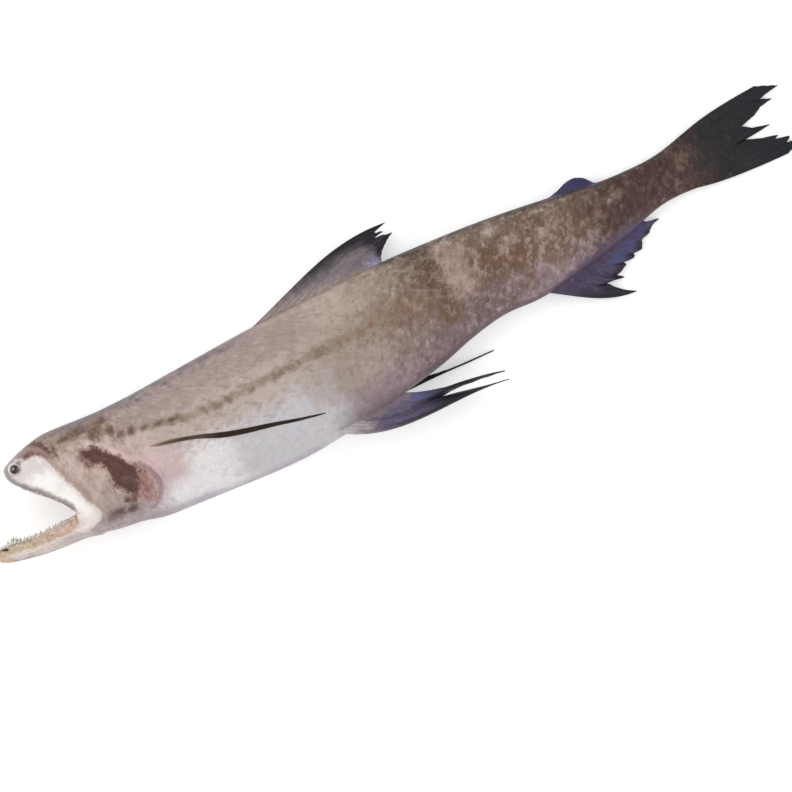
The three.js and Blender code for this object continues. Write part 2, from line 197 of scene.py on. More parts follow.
# base runs from a fin's first ray to its last, and tips is the worn line of the ray ends in the same order.
# bow is how far the first and the last ray arch forward, and lean moves that arch towards the root.
# thick is at the root and at the tips. root is the roots' height, or None for the body's middle plane.
# drop is how far the tips hang below their roots, and fray how uneven the ray ends are.
FINS = {
    "back_fin": {
        "base": [(98.0, 26.0), (146.0, 25.4)],
        "tips": [
            (153.8, 37.5), (148.6, 36.2), (152.1, 35.4), (148.3, 34.9),
            (153.9, 33.8), (151.2, 32.3), (148.6, 30.4), (146.8, 28.2),
        ],
        "bow": (2.85, -0.2), "lean": -0.75, "thick": (2.2, 0.30), "root": None, "drop": 4.5,
        "rays": 12, "fray": 0.015,
    },
    "anal_fin": {
        "base": [(187.6, -4.4), (197.9, -2.2), (204.1, -0.6), (213.3, 1.4), (223.2, 2.6)],
        "tips": [
            (213.2, -16.8), (209.2, -14.2), (206.6, -11.4), (205.4, -10.0), (211.6, -11.2), (209.6, -9.5),
            (213.8, -8.1), (213.2, -6.8), (217.0, -7.1), (217.2, -5.9), (220.5, -5.7), (221.2, -3.3),
            (224.6, -2.2), (225.8, -0.8), (229.0, 0.3), (225.2, 0.9),
        ],
        "bow": (-1.9, -0.3), "lean": -0.5, "thick": (1.8, 0.30), "root": None, "drop": 3.2,
        "rays": 14, "fray": 0.02,
    },
    "left_belly_fin": {
        "base": [(108.6, -11.4), (128.4, -8.0)],
        "tips": [
            (165.4, -22.9), (160.0, -21.9), (151.0, -19.8), (143.0, -18.3),
            (150.0, -18.0), (158.0, -18.9), (165.6, -20.1),
        ],
        "bow": (-4.1, -2.1), "lean": 1.0, "thick": (2.2, 0.35), "root": (17.6, 11.0), "drop": (11.4, 4.8),
        "rays": 9, "fray": 0.01,
    },
    "right_belly_fin": {
        "base": [(109.0, -13.0), (128.0, -8.6)],
        "tips": [
            (165.7, -12.8), (157.5, -12.6), (150.5, -11.8), (144.0, -10.8), (147.5, -8.6), (150.0, -7.4),
        ],
        "bow": (1.3, 0.2), "lean": 0.4, "thick": (2.0, 0.40), "root": (6.4, 6.4), "drop": (5.6, 5.6),
        "rays": 9, "fray": 0.02,
    },
    "tail_fin": {
        "base": [(238.5, 17.1), (246.0, 15.6), (249.5, 11.0), (246.0, 6.0), (238.5, 4.7)],
        "tips": [
            (273.6, 23.3), (277.2, 21.7), (280.6, 20.2), (275.8, 19.6), (273.4, 19.0), (276.8, 17.5),
            (272.6, 16.8), (269.8, 15.3), (264.6, 14.0), (267.4, 12.0), (272.7, 10.6), (267.6, 10.2),
            (263.3, 10.0), (268.2, 8.0), (273.5, 6.6), (272.1, 5.8), (276.8, 4.7), (274.8, 3.2),
            (279.6, 2.6), (276.6, 1.0), (273.6, 0.0),
        ],
        "bow": (1.8, -1.15), "lean": 0.3, "thick": (2.6, 0.40), "root": None, "drop": 0.9,
        "rays": 28, "fray": 0.006,
    },
}
SMALL_FIN = {
    "base": [(199.0, 19.2), (215.6, 17.0)],
    "tips": [(202.0, 20.9), (205.2, 22.1), (208.4, 23.3), (211.2, 23.4), (213.4, 22.2), (216.2, 18.9)],
    "bow": (0.3, 0.0), "lean": 0.0, "thick": (2.6, 1.2), "root": None, "drop": 0.6, "rays": 0, "fray": 0.0,
}
SMALL_FIN_OUTLINE = [
    (197, 21.0), (202.5, 21.9), (206, 23.5), (212, 24.5), (218, 20), (216.5, 18.2), (212, 19.2),
    (205, 20.6), (197, 21.0),
]
# The breast fin's middle line, and its width and thickness at shares of its length.
BREAST_FIN = {
    "line": [
        (58.0, 8.7), (65.0, 7.0), (72.0, 4.8), (79.0, 1.9), (86.0, -0.3), (94.0, -2.3), (102.5, -4.7),
        (110.4, -6.6),
    ],
    "width": [
        (0, 0.06, 0.16, 0.30, 0.42, 0.60, 0.78, 0.93, 1.0), (0.3, 0.6, 0.9, 1.3, 1.8, 1.7, 1.3, 0.9, 0.3),
    ],
    "thick": [(0, 0.08, 0.2, 0.5, 1.0), (0.25, 0.75, 0.60, 0.55, 0.2)],
    "rays": 5,
}

# ---------------------------------------------------------------- curves and sections


def curve_through(knots, values, places):
    """Values of a smooth curve that goes through all rows of values, at places along its knots."""
    knots, values, places = (np.asarray(part, float) for part in (knots, values, places))
    last = len(knots) - 1
    right = np.clip(np.searchsorted(knots, places, side="right"), 1, last)
    left = right - 1
    before = np.where(left > 0, left - 1, right)
    after = np.where(right < last, right + 1, left)
    span = knots[right] - knots[left]
    share = ((places - knots[left]) / span)[:, None]
    pull_before = (span / 2 / (knots[left] - knots[before]))[:, None]
    pull_after = (span / 2 / (knots[after] - knots[right]))[:, None]
    square, cube = share**2, share**3
    return (
        pull_before * (2 * square - cube - share) * values[before]
        + ((1 + pull_before) * cube - (1.5 + 2 * pull_before) * square + (pull_before - 0.5) * share + 1)
        * values[left]
        + ((1.5 + pull_after) * square - (1 + pull_after) * cube + 0.5 * share) * values[right]
        + pull_after * (cube - square) * values[after]
    )


def smoothstep(value, low, high):
    share = np.clip((value - low) / (high - low), 0, 1)
    return share * share * (3 - 2 * share)


def sections_at(table, rim, places, by_x):
    """Sections of a table at many places: X, or 0 for the first section and 1 for the last."""
    rows = np.asarray(table, float)
    knots = rows[:, 0] if by_x else np.linspace(0, 1, len(rows))
    found = curve_through(knots, rows, np.clip(places, knots[0], knots[-1]))
    x, back, belly, half, middle = found.T
    start, full, fading, gone = rim["span"]
    rise = smoothstep(x, start, full) * (1 - smoothstep(x, fading, gone))
    boxy = ROUND + (BOXY - ROUND) * rise
    over = boxy if rim["side"] == "over" else np.full_like(x, ROUND)
    under = boxy if rim["side"] == "under" else np.full_like(x, ROUND)
    return SimpleNamespace(x=x, back=back, belly=belly, half=half, middle=middle, over=over, under=under)


def body_at(x):
    return sections_at(BODY, UPPER_RIM, x, True)


def share_of_depth(sections, y):
    """-1 at the belly, 0 half way up and 1 at the back."""
    depth = np.maximum(sections.back - sections.belly, 1e-3)
    return (2 * y - sections.back - sections.belly) / depth


def flank_height(x, y, flank):
    """Height of a flank over the table at points seen from the side."""
    x, y = np.atleast_1d(x).astype(float), np.atleast_1d(y).astype(float)
    sections = body_at(x)
    share = np.clip(share_of_depth(sections, y), -1, 1)
    boxy = np.where(share > 0, sections.over, sections.under)
    bulge = sections.half * (1 - np.abs(share) ** boxy) ** (1 / boxy)
    return np.maximum(sections.middle + flank * bulge, 0)


def depth_in(table, points):
    """How far out a point is in a lofted shape: 0 on its axis, 1 on its skin, more outside."""
    rows = np.asarray(table, float)
    sections = sections_at(table, NO_RIM, points[:, 0], True)
    up = np.abs(share_of_depth(sections, points[:, 1]))
    aside = np.abs(points[:, 2] - sections.middle) / np.maximum(sections.half, 1e-3)
    out = (up**ROUND + aside**ROUND) ** (1 / ROUND)
    return np.where((points[:, 0] < rows[0, 0]) | (points[:, 0] > rows[-1, 0]), 9.0, out)


def smooth_line(points, closed=False, steps=6):
    """The same line with rounded corners."""
    points = np.asarray(points, float)
    if closed:
        points = np.vstack([points[-1:], points, points[:2]])
    knots = np.arange(len(points))
    first, last = (1, len(points) - 2) if closed else (0, len(points) - 1)
    places = np.linspace(first, last, (last - first) * steps + 1)
    return curve_through(knots, points, places)


def distance_to(line, points):
    """Distance of many points from a line, seen from the side."""
    nearest = np.full(len(points), np.inf)
    for start, end in zip(line[:-1], line[1:]):
        way = end - start
        share = np.clip((points - start) @ way / max(way @ way, 1e-9), 0, 1)
        nearest = np.minimum(nearest, np.linalg.norm(points - start - share[:, None] * way, axis=1))
    return nearest


def depth_inside(outline, points):
    """Distance from a closed outline: more than 0 inside it, less outside."""
    inside = np.zeros(len(points), bool)
    for (ax, ay), (bx, by) in zip(outline[:-1], outline[1:]):
        crosses = (ay > points[:, 1]) != (by > points[:, 1])
        where = (bx - ax) * (points[:, 1] - ay) / ((by - ay) or 1e-9) + ax
        inside ^= crosses & (points[:, 0] < where)
    return np.where(inside, 1, -1) * distance_to(outline, points)


# ---------------------------------------------------------------- tools for meshes


def corners(piece):
    found = np.empty(len(piece.data.vertices) * 3)
    piece.data.vertices.foreach_get("co", found)
    return found.reshape(-1, 3)


def move_corners(piece, points):
    piece.data.vertices.foreach_set("co", np.ascontiguousarray(points, float).ravel())
    piece.data.update()


def corner_normals(piece):
    found = np.empty(len(piece.data.vertices) * 3, np.float32)
    piece.data.vertex_normals.foreach_get("vector", found)
    return found.reshape(-1, 3)


def deselect():
    bpy.ops.object.select_all(action="DESELECT")


def only(piece):
    deselect()
    piece.select_set(True)
    bpy.context.view_layer.objects.active = piece
    return piece


def newest(name):
    """Names the object that an operator has just made."""
    bpy.context.object.name = name
    return bpy.context.object


def add_ball(name, segments, rings):
    deselect()
    bpy.ops.mesh.primitive_uv_sphere_add(segments=segments, ring_count=rings, radius=1, location=(0, 0, 0))
    return newest(name)


def add_grid(name, columns, rows):
    deselect()
    bpy.ops.mesh.primitive_grid_add(x_subdivisions=columns, y_subdivisions=rows, size=1, location=(0, 0, 0))
    return newest(name)


def face_outwards(piece):
    only(piece)
    bpy.ops.object.mode_set(mode="EDIT")
    bpy.ops.mesh.select_all(action="SELECT")
    bpy.ops.mesh.normals_make_consistent(inside=False)
    bpy.ops.object.mode_set(mode="OBJECT")
    return piece


def modify(piece, kind, **settings):
    """Adds a modifier and applies it."""
    only(piece)
    modifier = piece.modifiers.new(kind.lower(), kind)
    for name, value in settings.items():
        setattr(modifier, name, value)
    bpy.ops.object.modifier_apply(modifier=modifier.name)
    return piece


def combine(piece, other, operation):
    modify(piece, "BOOLEAN", operation=operation, object=other, solver="EXACT")
    bpy.data.objects.remove(other)
    return piece


def join(pieces):
    deselect()
    for piece in pieces:
        piece.select_set(True)
    bpy.context.view_layer.objects.active = pieces[0]
    bpy.ops.object.join()
    return pieces[0]


def store(piece, **layers):
    """Keeps numbers for each corner, for the materials to read."""
    for name, values in layers.items():
        layer = piece.data.attributes.get(name) or piece.data.attributes.new(name, "FLOAT", "POINT")
        layer.data.foreach_set("value", np.asarray(values, np.float32))


def finish_piece(piece, material, slot, *nodes):
    """Shades a piece smooth, takes it to the frame's metres and dresses it."""
    only(piece)
    bpy.ops.object.shade_smooth()
    move_corners(piece, corners(piece) * MM + ORIGIN)
    piece.data.materials.clear()
    piece.data.materials.append(material)
    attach(piece, "root")
    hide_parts(*nodes)


# ---------------------------------------------------------------- shader arithmetic

BUMP_DEPTH = 0.2 * MM


class Number:
    """A number socket in a material that takes part in sums."""

    def __init__(self, paint, socket):
        self.paint, self.socket = paint, socket

    def sum(self, operation, *parts):
        return self.paint.node("ShaderNodeMath", {"operation": operation}, parts)

    def wave(self):
        return self.sum("SINE", self)

    def size(self):
        return self.sum("ABSOLUTE", self)

    def step(self, low, high):
        """0 below low, 1 above high, and smooth between."""
        inputs = {"Value": self, "From Min": low, "From Max": high}
        return self.paint.node("ShaderNodeMapRange", {"interpolation_type": "SMOOTHSTEP"}, inputs)

    def fade(self, low, high):
        """1 below low, 0 above high, and smooth between."""
        return 1 - self.step(low, high)

    def between(self, start, full, fading, gone):
        """0 before start and after gone, 1 from full to fading, and smooth between."""
        return self.step(start, full) * self.fade(fading, gone)


def add_operator(sign, operation):
    """Gives Number an operator and its reflected form."""
    setattr(Number, f"__{sign}__", lambda first, second: first.sum(operation, first, second))
    setattr(Number, f"__r{sign}__", lambda second, first: second.sum(operation, first, second))


for sign, operation in (("add", "ADD"), ("sub", "SUBTRACT"), ("mul", "MULTIPLY"), ("pow", "POWER")):
    add_operator(sign, operation)


class Paint:
    """A material under construction."""

    def __init__(self, name):
        self.material = bpy.data.materials.new(name)
        self.material.use_nodes = True
        self.tree = self.material.node_tree
        self.shader = self.tree.nodes["Principled BSDF"]

    def node(self, kind, settings, inputs, output=0):
        """A node: its settings come first, then inputs: numbers, colours or other nodes' results."""
        made = self.tree.nodes.new(kind)
        for name, value in settings.items():
            setattr(made, name, value)
        named = inputs.items() if isinstance(inputs, dict) else enumerate(inputs)
        for key, value in named:
            self.feed(made.inputs[key], value)
        return Number(self, made.outputs[output])

    def feed(self, socket, value):
        if isinstance(value, Number):
            self.tree.links.new(value.socket, socket)
        elif socket.type == "RGBA":
            socket.default_value = (*linear(value), 1.0)
        else:
            socket.default_value = value

    def attribute(self, name):
        return self.node("ShaderNodeAttribute", {"attribute_name": name}, {}, "Fac")

    def place(self, size, stretch=(1.0, 1.0, 1.0), turn=0.0):
        """Object coordinates for a pattern of size millimetres, turned about Z and then drawn out."""
        found = self.node("ShaderNodeTexCoord", {}, {}, "Object")
        scale = tuple(size * part * MM for part in stretch)
        inputs = {"Vector": found, "Rotation": (0, 0, turn), "Scale": scale}
        return self.node("ShaderNodeMapping", {"vector_type": "TEXTURE"}, inputs)

    def noise(self, vector, detail=3.0, roughness=0.6, output="Fac"):
        inputs = {"Vector": vector, "Scale": 1.0, "Detail": detail, "Roughness": roughness}
        return self.node("ShaderNodeTexNoise", {}, inputs, output)

    def uneven(self, size, stretch=(1.0, 1.0, 1.0), turn=0.0, detail=3.0, roughness=0.6):
        """Noise about 0 with features of size millimetres."""
        return self.noise(self.place(size, stretch, turn), detail, roughness) - 0.5

    def flakes(self, vector, shake):
        """A chance number of 0 to 1 for each of many small flakes with uneven edges."""
        shaken = self.noise(vector, 2.0, 0.6, "Color")
        inputs = [shaken, (shake, shake, shake), vector]
        vector = self.node("ShaderNodeVectorMath", {"operation": "MULTIPLY_ADD"}, inputs)
        color = self.node("ShaderNodeTexVoronoi", {}, {"Vector": vector, "Scale": 1.0}, "Color")
        return self.node("ShaderNodeSeparateColor", {}, [color])

    def zones(self, value, color, *changes):
        """Colours that follow each other along a value. Each change has its start, its end and its colour."""
        for start, end, following in changes:
            color = self.mix(value.step(start, end), color, following)
        return color

    def mix(self, share, first, second):
        """Two colours mixed. The colour sockets of a Mix node have the numbers 6, 7 and, going out, 2."""
        settings = {"data_type": "RGBA", "clamp_factor": True}
        return self.node("ShaderNodeMix", settings, {0: share, 6: first, 7: second}, 2)

    def brighten(self, color, amount):
        """Multiplies a colour by a number."""
        if isinstance(color, tuple):
            color = linear(color)
        return self.node("ShaderNodeVectorMath", {"operation": "SCALE"}, {0: color, "Scale": amount})

    def bump(self, height, strength):
        inputs = {"Height": height, "Distance": BUMP_DEPTH, "Strength": strength}
        return self.node("ShaderNodeBump", {}, inputs)

    def set(self, **values):
        """Feeds the shader. Names are its sockets', with _ for a blank."""
        for name, value in values.items():
            self.feed(self.shader.inputs[name.replace("_", " ")], value)
        return self.material


def linear(color):
    """A colour of 0 to 255, as a screen shows it, in the shader's own values."""
    parts = [part / 255 for part in color]
    return tuple(part / 12.92 if part <= 0.04045 else ((part + 0.055) / 1.055) ** 2.4 for part in parts)


# ---------------------------------------------------------------- body and jaws

# The trunk is squeezed along X while its skin is remade, so that the head gets the finer faces.
SQUEEZE_FROM, SQUEEZE_TO, SQUEEZE = 58.0, 74.0, 0.42
SKIN_VOXEL = 0.37
LINE_BEAD = 4.6  # length of one scale of the lateral line
FIN_RIPPLE = 0.22
TABLE_GAP = 0.05
X_STEPS = np.linspace(-5, 290, 3000)
SQUEEZED_STEPS = np.concatenate(
    [[0], np.cumsum(np.diff(X_STEPS) * np.interp(X_STEPS[1:], (SQUEEZE_FROM, SQUEEZE_TO), (1, SQUEEZE)))]
)


def loft(name, table, rim, segments, rings):
    """A ball drawn out along a table of sections."""
    piece = add_ball(name, segments, rings)
    ball = corners(piece)
    sections = sections_at(table, rim, np.arccos(np.clip(ball[:, 2], -1, 1)) / math.pi, False)
    angle = np.arctan2(ball[:, 0], ball[:, 1])
    up, aside = np.cos(angle), np.sin(angle)
    power = 2 / np.where(up > 0, sections.over, sections.under)
    middle = (sections.back + sections.belly) / 2
    reach = (sections.back - sections.belly) / 2
    y = middle + reach * np.sign(up) * np.abs(up) ** power
    z = sections.middle + sections.half * np.sign(aside) * np.abs(aside) ** power
    move_corners(piece, np.column_stack([sections.x, y, np.maximum(z, 0)]))
    return face_outwards(piece)


def along(points, shares):
    """Points on the straight stretches between points."""
    points = np.asarray(points, float)
    knots = np.linspace(0, 1, len(points))
    return np.column_stack([np.interp(shares, knots, points[:, 0]), np.interp(shares, knots, points[:, 1])])


def fin_plate(name, fin, columns, rows):
    """A thin closed plate between a fin's base and its tips."""
    piece = add_grid(name, columns, rows)
    flat = corners(piece)
    across, out = flat[:, 0] + 0.5, flat[:, 1] + 0.5
    ray = 0.5 + 0.5 * np.cos(2 * math.pi * fin["rays"] * across)
    worn = random.uniform(0.2, 1.0, fin["rays"] + 2)[np.round(across * fin["rays"]).astype(int)]
    length = 1 - fin["fray"] * (worn * 0.6 + (1 - ray) * 1.2)
    start, end = along(fin["base"], across), along(fin["tips"], across)
    way = (end - start) * length[:, None]
    arch = 4 * out * (1 - out) * (1 + fin["lean"] * (1 - 2 * out))
    arch *= np.interp(across, (0, 1), fin["bow"]) / np.linalg.norm(end - start, axis=1)
    place = start + way * out[:, None] + np.column_stack([-way[:, 1], way[:, 0]]) * arch[:, None]
    root_thick, tip_thick = fin["thick"]
    thickness = tip_thick + (root_thick - tip_thick) * (1 - out) ** 2
    if fin["root"] is None:
        root = body_at(place[:, 0]).middle
    else:
        root = np.interp(across, (0, 1), fin["root"])
    ripple = FIN_RIPPLE * np.sin(across * 21 + out * 5) * out
    drop = np.interp(across, (0, 1), fin["drop"]) if np.ndim(fin["drop"]) else fin["drop"]
    height = np.maximum(root - drop * out**2 + ripple, thickness / 2 + TABLE_GAP)
    move_corners(piece, np.column_stack([place, height]))
    relief = thickness * (0.86 + 0.14 * ray) if fin["rays"] else thickness
    widest = float(relief.max())
    group = piece.vertex_groups.new(name="thickness")
    for number, share in enumerate(relief / widest):
        group.add([number], float(share), "REPLACE")
    sections = body_at(place[:, 0])
    rise = np.clip(share_of_depth(sections, place[:, 1]), -0.85, 0.72)
    store(piece, along=place[:, 0], rise=rise, across=across, out=out)
    modify(piece, "SOLIDIFY", thickness=widest, offset=0.0, vertex_group=group.name)
    return face_outwards(piece)


def add_tongue():
    piece = add_ball("tongue", 24, 16)
    size = np.array([TONGUE["length"], TONGUE["height"], TONGUE["width"]]) / 2
    move_corners(piece, corners(piece) * size + (TONGUE["x"], TONGUE["y"], MOUTH_MIDDLE))
    return face_outwards(piece)


def squeeze(piece, steps_from, steps_to):
    points = corners(piece)
    points[:, 0] = np.interp(points[:, 0], steps_from, steps_to)
    move_corners(piece, points)


def make_body():
    """Head, trunk, jaws, tongue and the small fleshy fin, in one skin."""
    body = loft("skin", BODY, UPPER_RIM, 64, 150)
    combine(body, loft("jaw", JAW, LOWER_RIM, 48, 60), "UNION")
    combine(body, loft("palate", PALATE, NO_RIM, 40, 48), "DIFFERENCE")
    combine(body, loft("trough", TROUGH, NO_RIM, 40, 48), "DIFFERENCE")
    body = join([body, add_tongue(), fin_plate("root", SMALL_FIN, 24, 10)])
    squeeze(body, X_STEPS, SQUEEZED_STEPS)
    modify(body, "REMESH", mode="VOXEL", voxel_size=SKIN_VOXEL, use_smooth_shade=True)
    squeeze(body, SQUEEZED_STEPS, X_STEPS)
    modify(body, "SMOOTH", factor=0.5, iterations=5)
    return body


def bell(distance, width):
    return np.exp(-((distance / width) ** 2))


def soft_spot(x, y, middle_x, middle_y, reach_x, reach_y):
    """1 in the middle of a spot and 0 well outside it."""
    return np.exp(-(((x - middle_x) / reach_x) ** 2) - ((y - middle_y) / reach_y) ** 2)


def sculpt_skin(body):
    """Presses and raises the skin along the fish's lines, and keeps what its material reads."""
    points = corners(body)
    side = points[:, :2]
    x, y, z = points.T
    sections = body_at(x)
    jaw_sections = sections_at(JAW, LOWER_RIM, x, True)
    jaw_rise = np.clip((share_of_depth(jaw_sections, y) + 1) / 2, -0.2, 1.2)
    jaw = (1 - smoothstep(x, 27, 35)) * (1 - smoothstep(y, 2.2, 4.0))
    in_mouth = np.minimum(depth_in(PALATE, points), depth_in(TROUGH, points))
    mouth = 1 - smoothstep(in_mouth, 1.03, 1.16)
    skin = 1 - mouth
    eye = np.hypot(x - EYE["x"], y - EYE["y"])
    line = {name: distance_to(smooth_line(row), side) for name, row in LINES.items()}
    patch = {name: depth_inside(smooth_line(row, True), side) for name, row in PATCHES.items()}
    spots = {name: np.max([soft_spot(x, y, *spot) for spot in rows], axis=0) for name, rows in SPOTS.items()}

    lift = sum(height * bell(line[name], width) for name, (height, width) in RAISED_LINES.items())
    del line["fold"]  # raised only: no material reads it
    lift -= 0.75 * smoothstep(patch["white"], 0.0, 2.6)
    cover = patch.pop("gill_cover")
    lift += (0.95 * smoothstep(cover, -0.3, 0.9) - 0.45 * bell(cover + 1.1, 0.8)) * smoothstep(x, 38, 52)
    lift -= 1.5 * smoothstep(patch["hollow"], -0.2, 1.8)
    lift += 0.16 * bell(eye - 2.6, 0.5) - 0.9 * (1 - smoothstep(eye, 1.5, 2.05))
    beads = 0.6 + 0.4 * np.cos(2 * math.pi * x / LINE_BEAD)
    lift += 0.13 * bell(line["lateral_line"], 0.7) * beads * smoothstep(x, 60, 72)
    lift -= 0.16 * bell((jaw_rise - 0.42) * 6, 0.5) * jaw * smoothstep(x, 2, 5)
    for nostril_x, nostril_y in NOSTRILS:
        lift -= 0.4 * bell(np.hypot(x - nostril_x, y - nostril_y), 0.38)
    points = points + corner_normals(body) * (0.4, 0.4, 1.0) * (lift * skin)[:, None]
    points[:, 2] = np.maximum(points[:, 2], 0.0)
    move_corners(body, points)

    aside = np.abs(z - sections.middle) / np.maximum(sections.half, 0.5)
    kept = {
        **line, **patch, **spots, "along": x, "y": y, "rise": np.clip(share_of_depth(sections, y), -1.2, 1.2),
        "aside": np.clip(aside, 0, 1), "jaw": jaw * skin, "jaw_rise": jaw_rise, "mouth": mouth, "eye": eye,
        "small_fin": depth_inside(np.array(SMALL_FIN_OUTLINE), side),
        "jaw_spot": np.hypot((x - 3.7) / 1.3, (y - 0.6 + (x - 3.7) * 0.35) / 0.6),
    }
    store(body, **kept)
    return body


# ---------------------------------------------------------------- colours, as a screen shows them

# The trunk.
SLATE = (91, 82, 88)
DARK_BROWN = (42, 33, 33)
NEAR_BLACK = (27, 25, 28)
TAIL_BLACK = (34, 33, 38)
FLANK = (164, 145, 139)
PALE_FLANK = (191, 175, 167)
WHITISH = (232, 226, 227)
BELLY_WHITE = (236, 232, 235)
BELLY_GREY = (202, 199, 203)
OLIVE = (157, 141, 127)
BROWN = (124, 101, 86)
REAR_BROWN = (110, 85, 71)
LOW_BAND = (109, 84, 67)
BAND = (99, 74, 55)
HIGH_BAND = (85, 65, 49)
SANDY = (154, 134, 124)
REAR = (113, 93, 82)
STALK = (76, 56, 51)
GREY_MAUVE = (164, 149, 141)
MAUVE = (146, 127, 133)
DEEP_MAUVE = (124, 103, 106)
PURPLE = (98, 80, 90)
ROSE = (206, 182, 180)
CHEEK = (203, 179, 171)
LOW_CHEEK = (178, 160, 152)
CHIN = (172, 157, 158)
HEAD_TOP = (150, 126, 115)
SNOUT_GREY = (145, 139, 138)
SPOT_BROWN = (95, 70, 54)
RED_BROWN = (112, 82, 62)
FLECK = (182, 162, 148)
MAUVE_FLECK = (176, 158, 160)
STALK_FLECK = (124, 102, 92)
STALK_DARK = (58, 43, 41)
TAN = (164, 150, 134)
DUSKY = (160, 138, 138)
BROWN_MAUVE = (136, 115, 109)
REAR_MAUVE = (120, 100, 98)
GREY_BROWN = (134, 112, 109)
PALE_BACK = (178, 162, 151)
PALE_STREAK = (190, 177, 170)
DUSKY_STREAK = (139, 122, 115)

# Edges of the back and belly, the lateral line and the roots of the fins. The belly's edge and the belly
# fin's root take painted shade.
BELLY_EDGE_SHADE = (132, 120, 132)
BREAST_EDGE_SHADE = (158, 150, 160)
REAR_EDGE = (76, 54, 64)
BACK_FIN_BASE = (126, 102, 84)
BELLY_FIN_ROOT_SHADE = (134, 114, 128)
ANAL_FIN_BASE = (84, 71, 94)
SMALL_FIN_EDGE = (66, 60, 90)
SMALL_FIN_BLUE = (50, 50, 94)
LINE_OLIVE = (142, 124, 104)
LINE_MARK = (118, 97, 76)
LINE_RUST = (142, 108, 86)
RUST = (138, 103, 82)
PALE_PATCH_AND_HIGHLIGHT = (186, 168, 158)

# The head and gill, with painted shade in the gill hollow and a painted shadow under the gill cover's edge.
HEAD_MOTTLE = (124, 101, 84)
HEAD_STREAK = (152, 123, 111)
HEAD_PALE = (212, 190, 182)
HEAD_BROWN = (144, 118, 106)
HEAD_GRAIN = (128, 102, 92)
HEAD_BACK = (108, 100, 108)
BLUSH = (222, 194, 194)
FLESH = (150, 106, 102)
PALE_FLESH = (186, 146, 138)
DARK_FLESH = (122, 84, 82)
FLESH_FLECK = (212, 180, 172)
GILL_RIM = (214, 188, 187)
GILL_EDGE_SHADOW = (146, 113, 117)
ROSY = (200, 163, 153)
HOLLOW_BRIM_AND_SHADE = (126, 92, 84)
HOLLOW_GILL_AND_SHADE = (98, 66, 60)
HOLLOW_DEEP_SHADE = (80, 53, 50)
HOLLOW_MAUVE = (98, 68, 78)
HOLLOW_MOTTLE = (124, 92, 82)
HOLLOW_STREAK = (72, 48, 46)

# The jaws and the mouth.
JAW_UNDER = (160, 152, 150)
JAW_LOW = (212, 198, 190)
JAW_PALE = (224, 211, 203)
JAW_BEIGE = (195, 173, 148)
JAW_RIM = (184, 172, 162)
JAW_BACK = (182, 168, 165)
JAW_PINK = (212, 168, 158)
JAW_TIP = (198, 172, 142)
JAW_SPECK = (150, 120, 106)
JAW_FLECK = (232, 220, 208)
JAW_TIP_SPOT = (48, 30, 28)
CHEEK_EDGE = (228, 218, 211)
CHEEK_WHITE = (252, 248, 245)
CHEEK_GREY = (212, 202, 199)
CHEEK_SILVER = (238, 232, 230)
CHEEK_CREAM = (234, 224, 216)
CHEEK_CORNER = (226, 214, 206)
AROUND_EYE = (225, 212, 210)
CROWN = (97, 61, 51)
CROWN_MOTTLE = (96, 68, 60)
RIDGE = (164, 139, 131)
LIP_FLESH = (152, 135, 129)
LIP_MOTTLE = (130, 117, 112)
EYE_SOCKET_SHADE = (132, 120, 117)

# The fins with a painted sheen on the anal fin, the teeth, the eye's painted highlight and the floor.
ANAL_FIN_SHEEN = (58, 78, 130)
TOOTH_PALE = (222, 217, 210)
TOOTH_GREY = (188, 182, 176)
GLINT = (208, 204, 202)
FLOOR_WHITE = (252, 252, 252)
FLOOR_GREY = (249, 250, 250)
WHITE = (255, 255, 255)

# Zones along a length: the first colour, then each change's start, its end and the colour after it.
THROAT = (216, 188, 174), (22, 34, (188, 134, 126)), (36, 46, (98, 56, 54))
BREAST_FIN_ZONES = (
    (190, 162, 148), (0.02, 0.11, (142, 120, 102)), (0.10, 0.20, (104, 87, 74)),
    (0.28, 0.44, (56, 42, 37)), (0.84, 0.96, (78, 66, 64)),
)
EYE_ZONES = (
    (44, 36, 36), (0.36, 0.46, (96, 86, 84)), (0.48, 0.60, (222, 212, 209)), (0.74, 0.92, (168, 160, 158)),
)

# ---------------------------------------------------------------- skin material


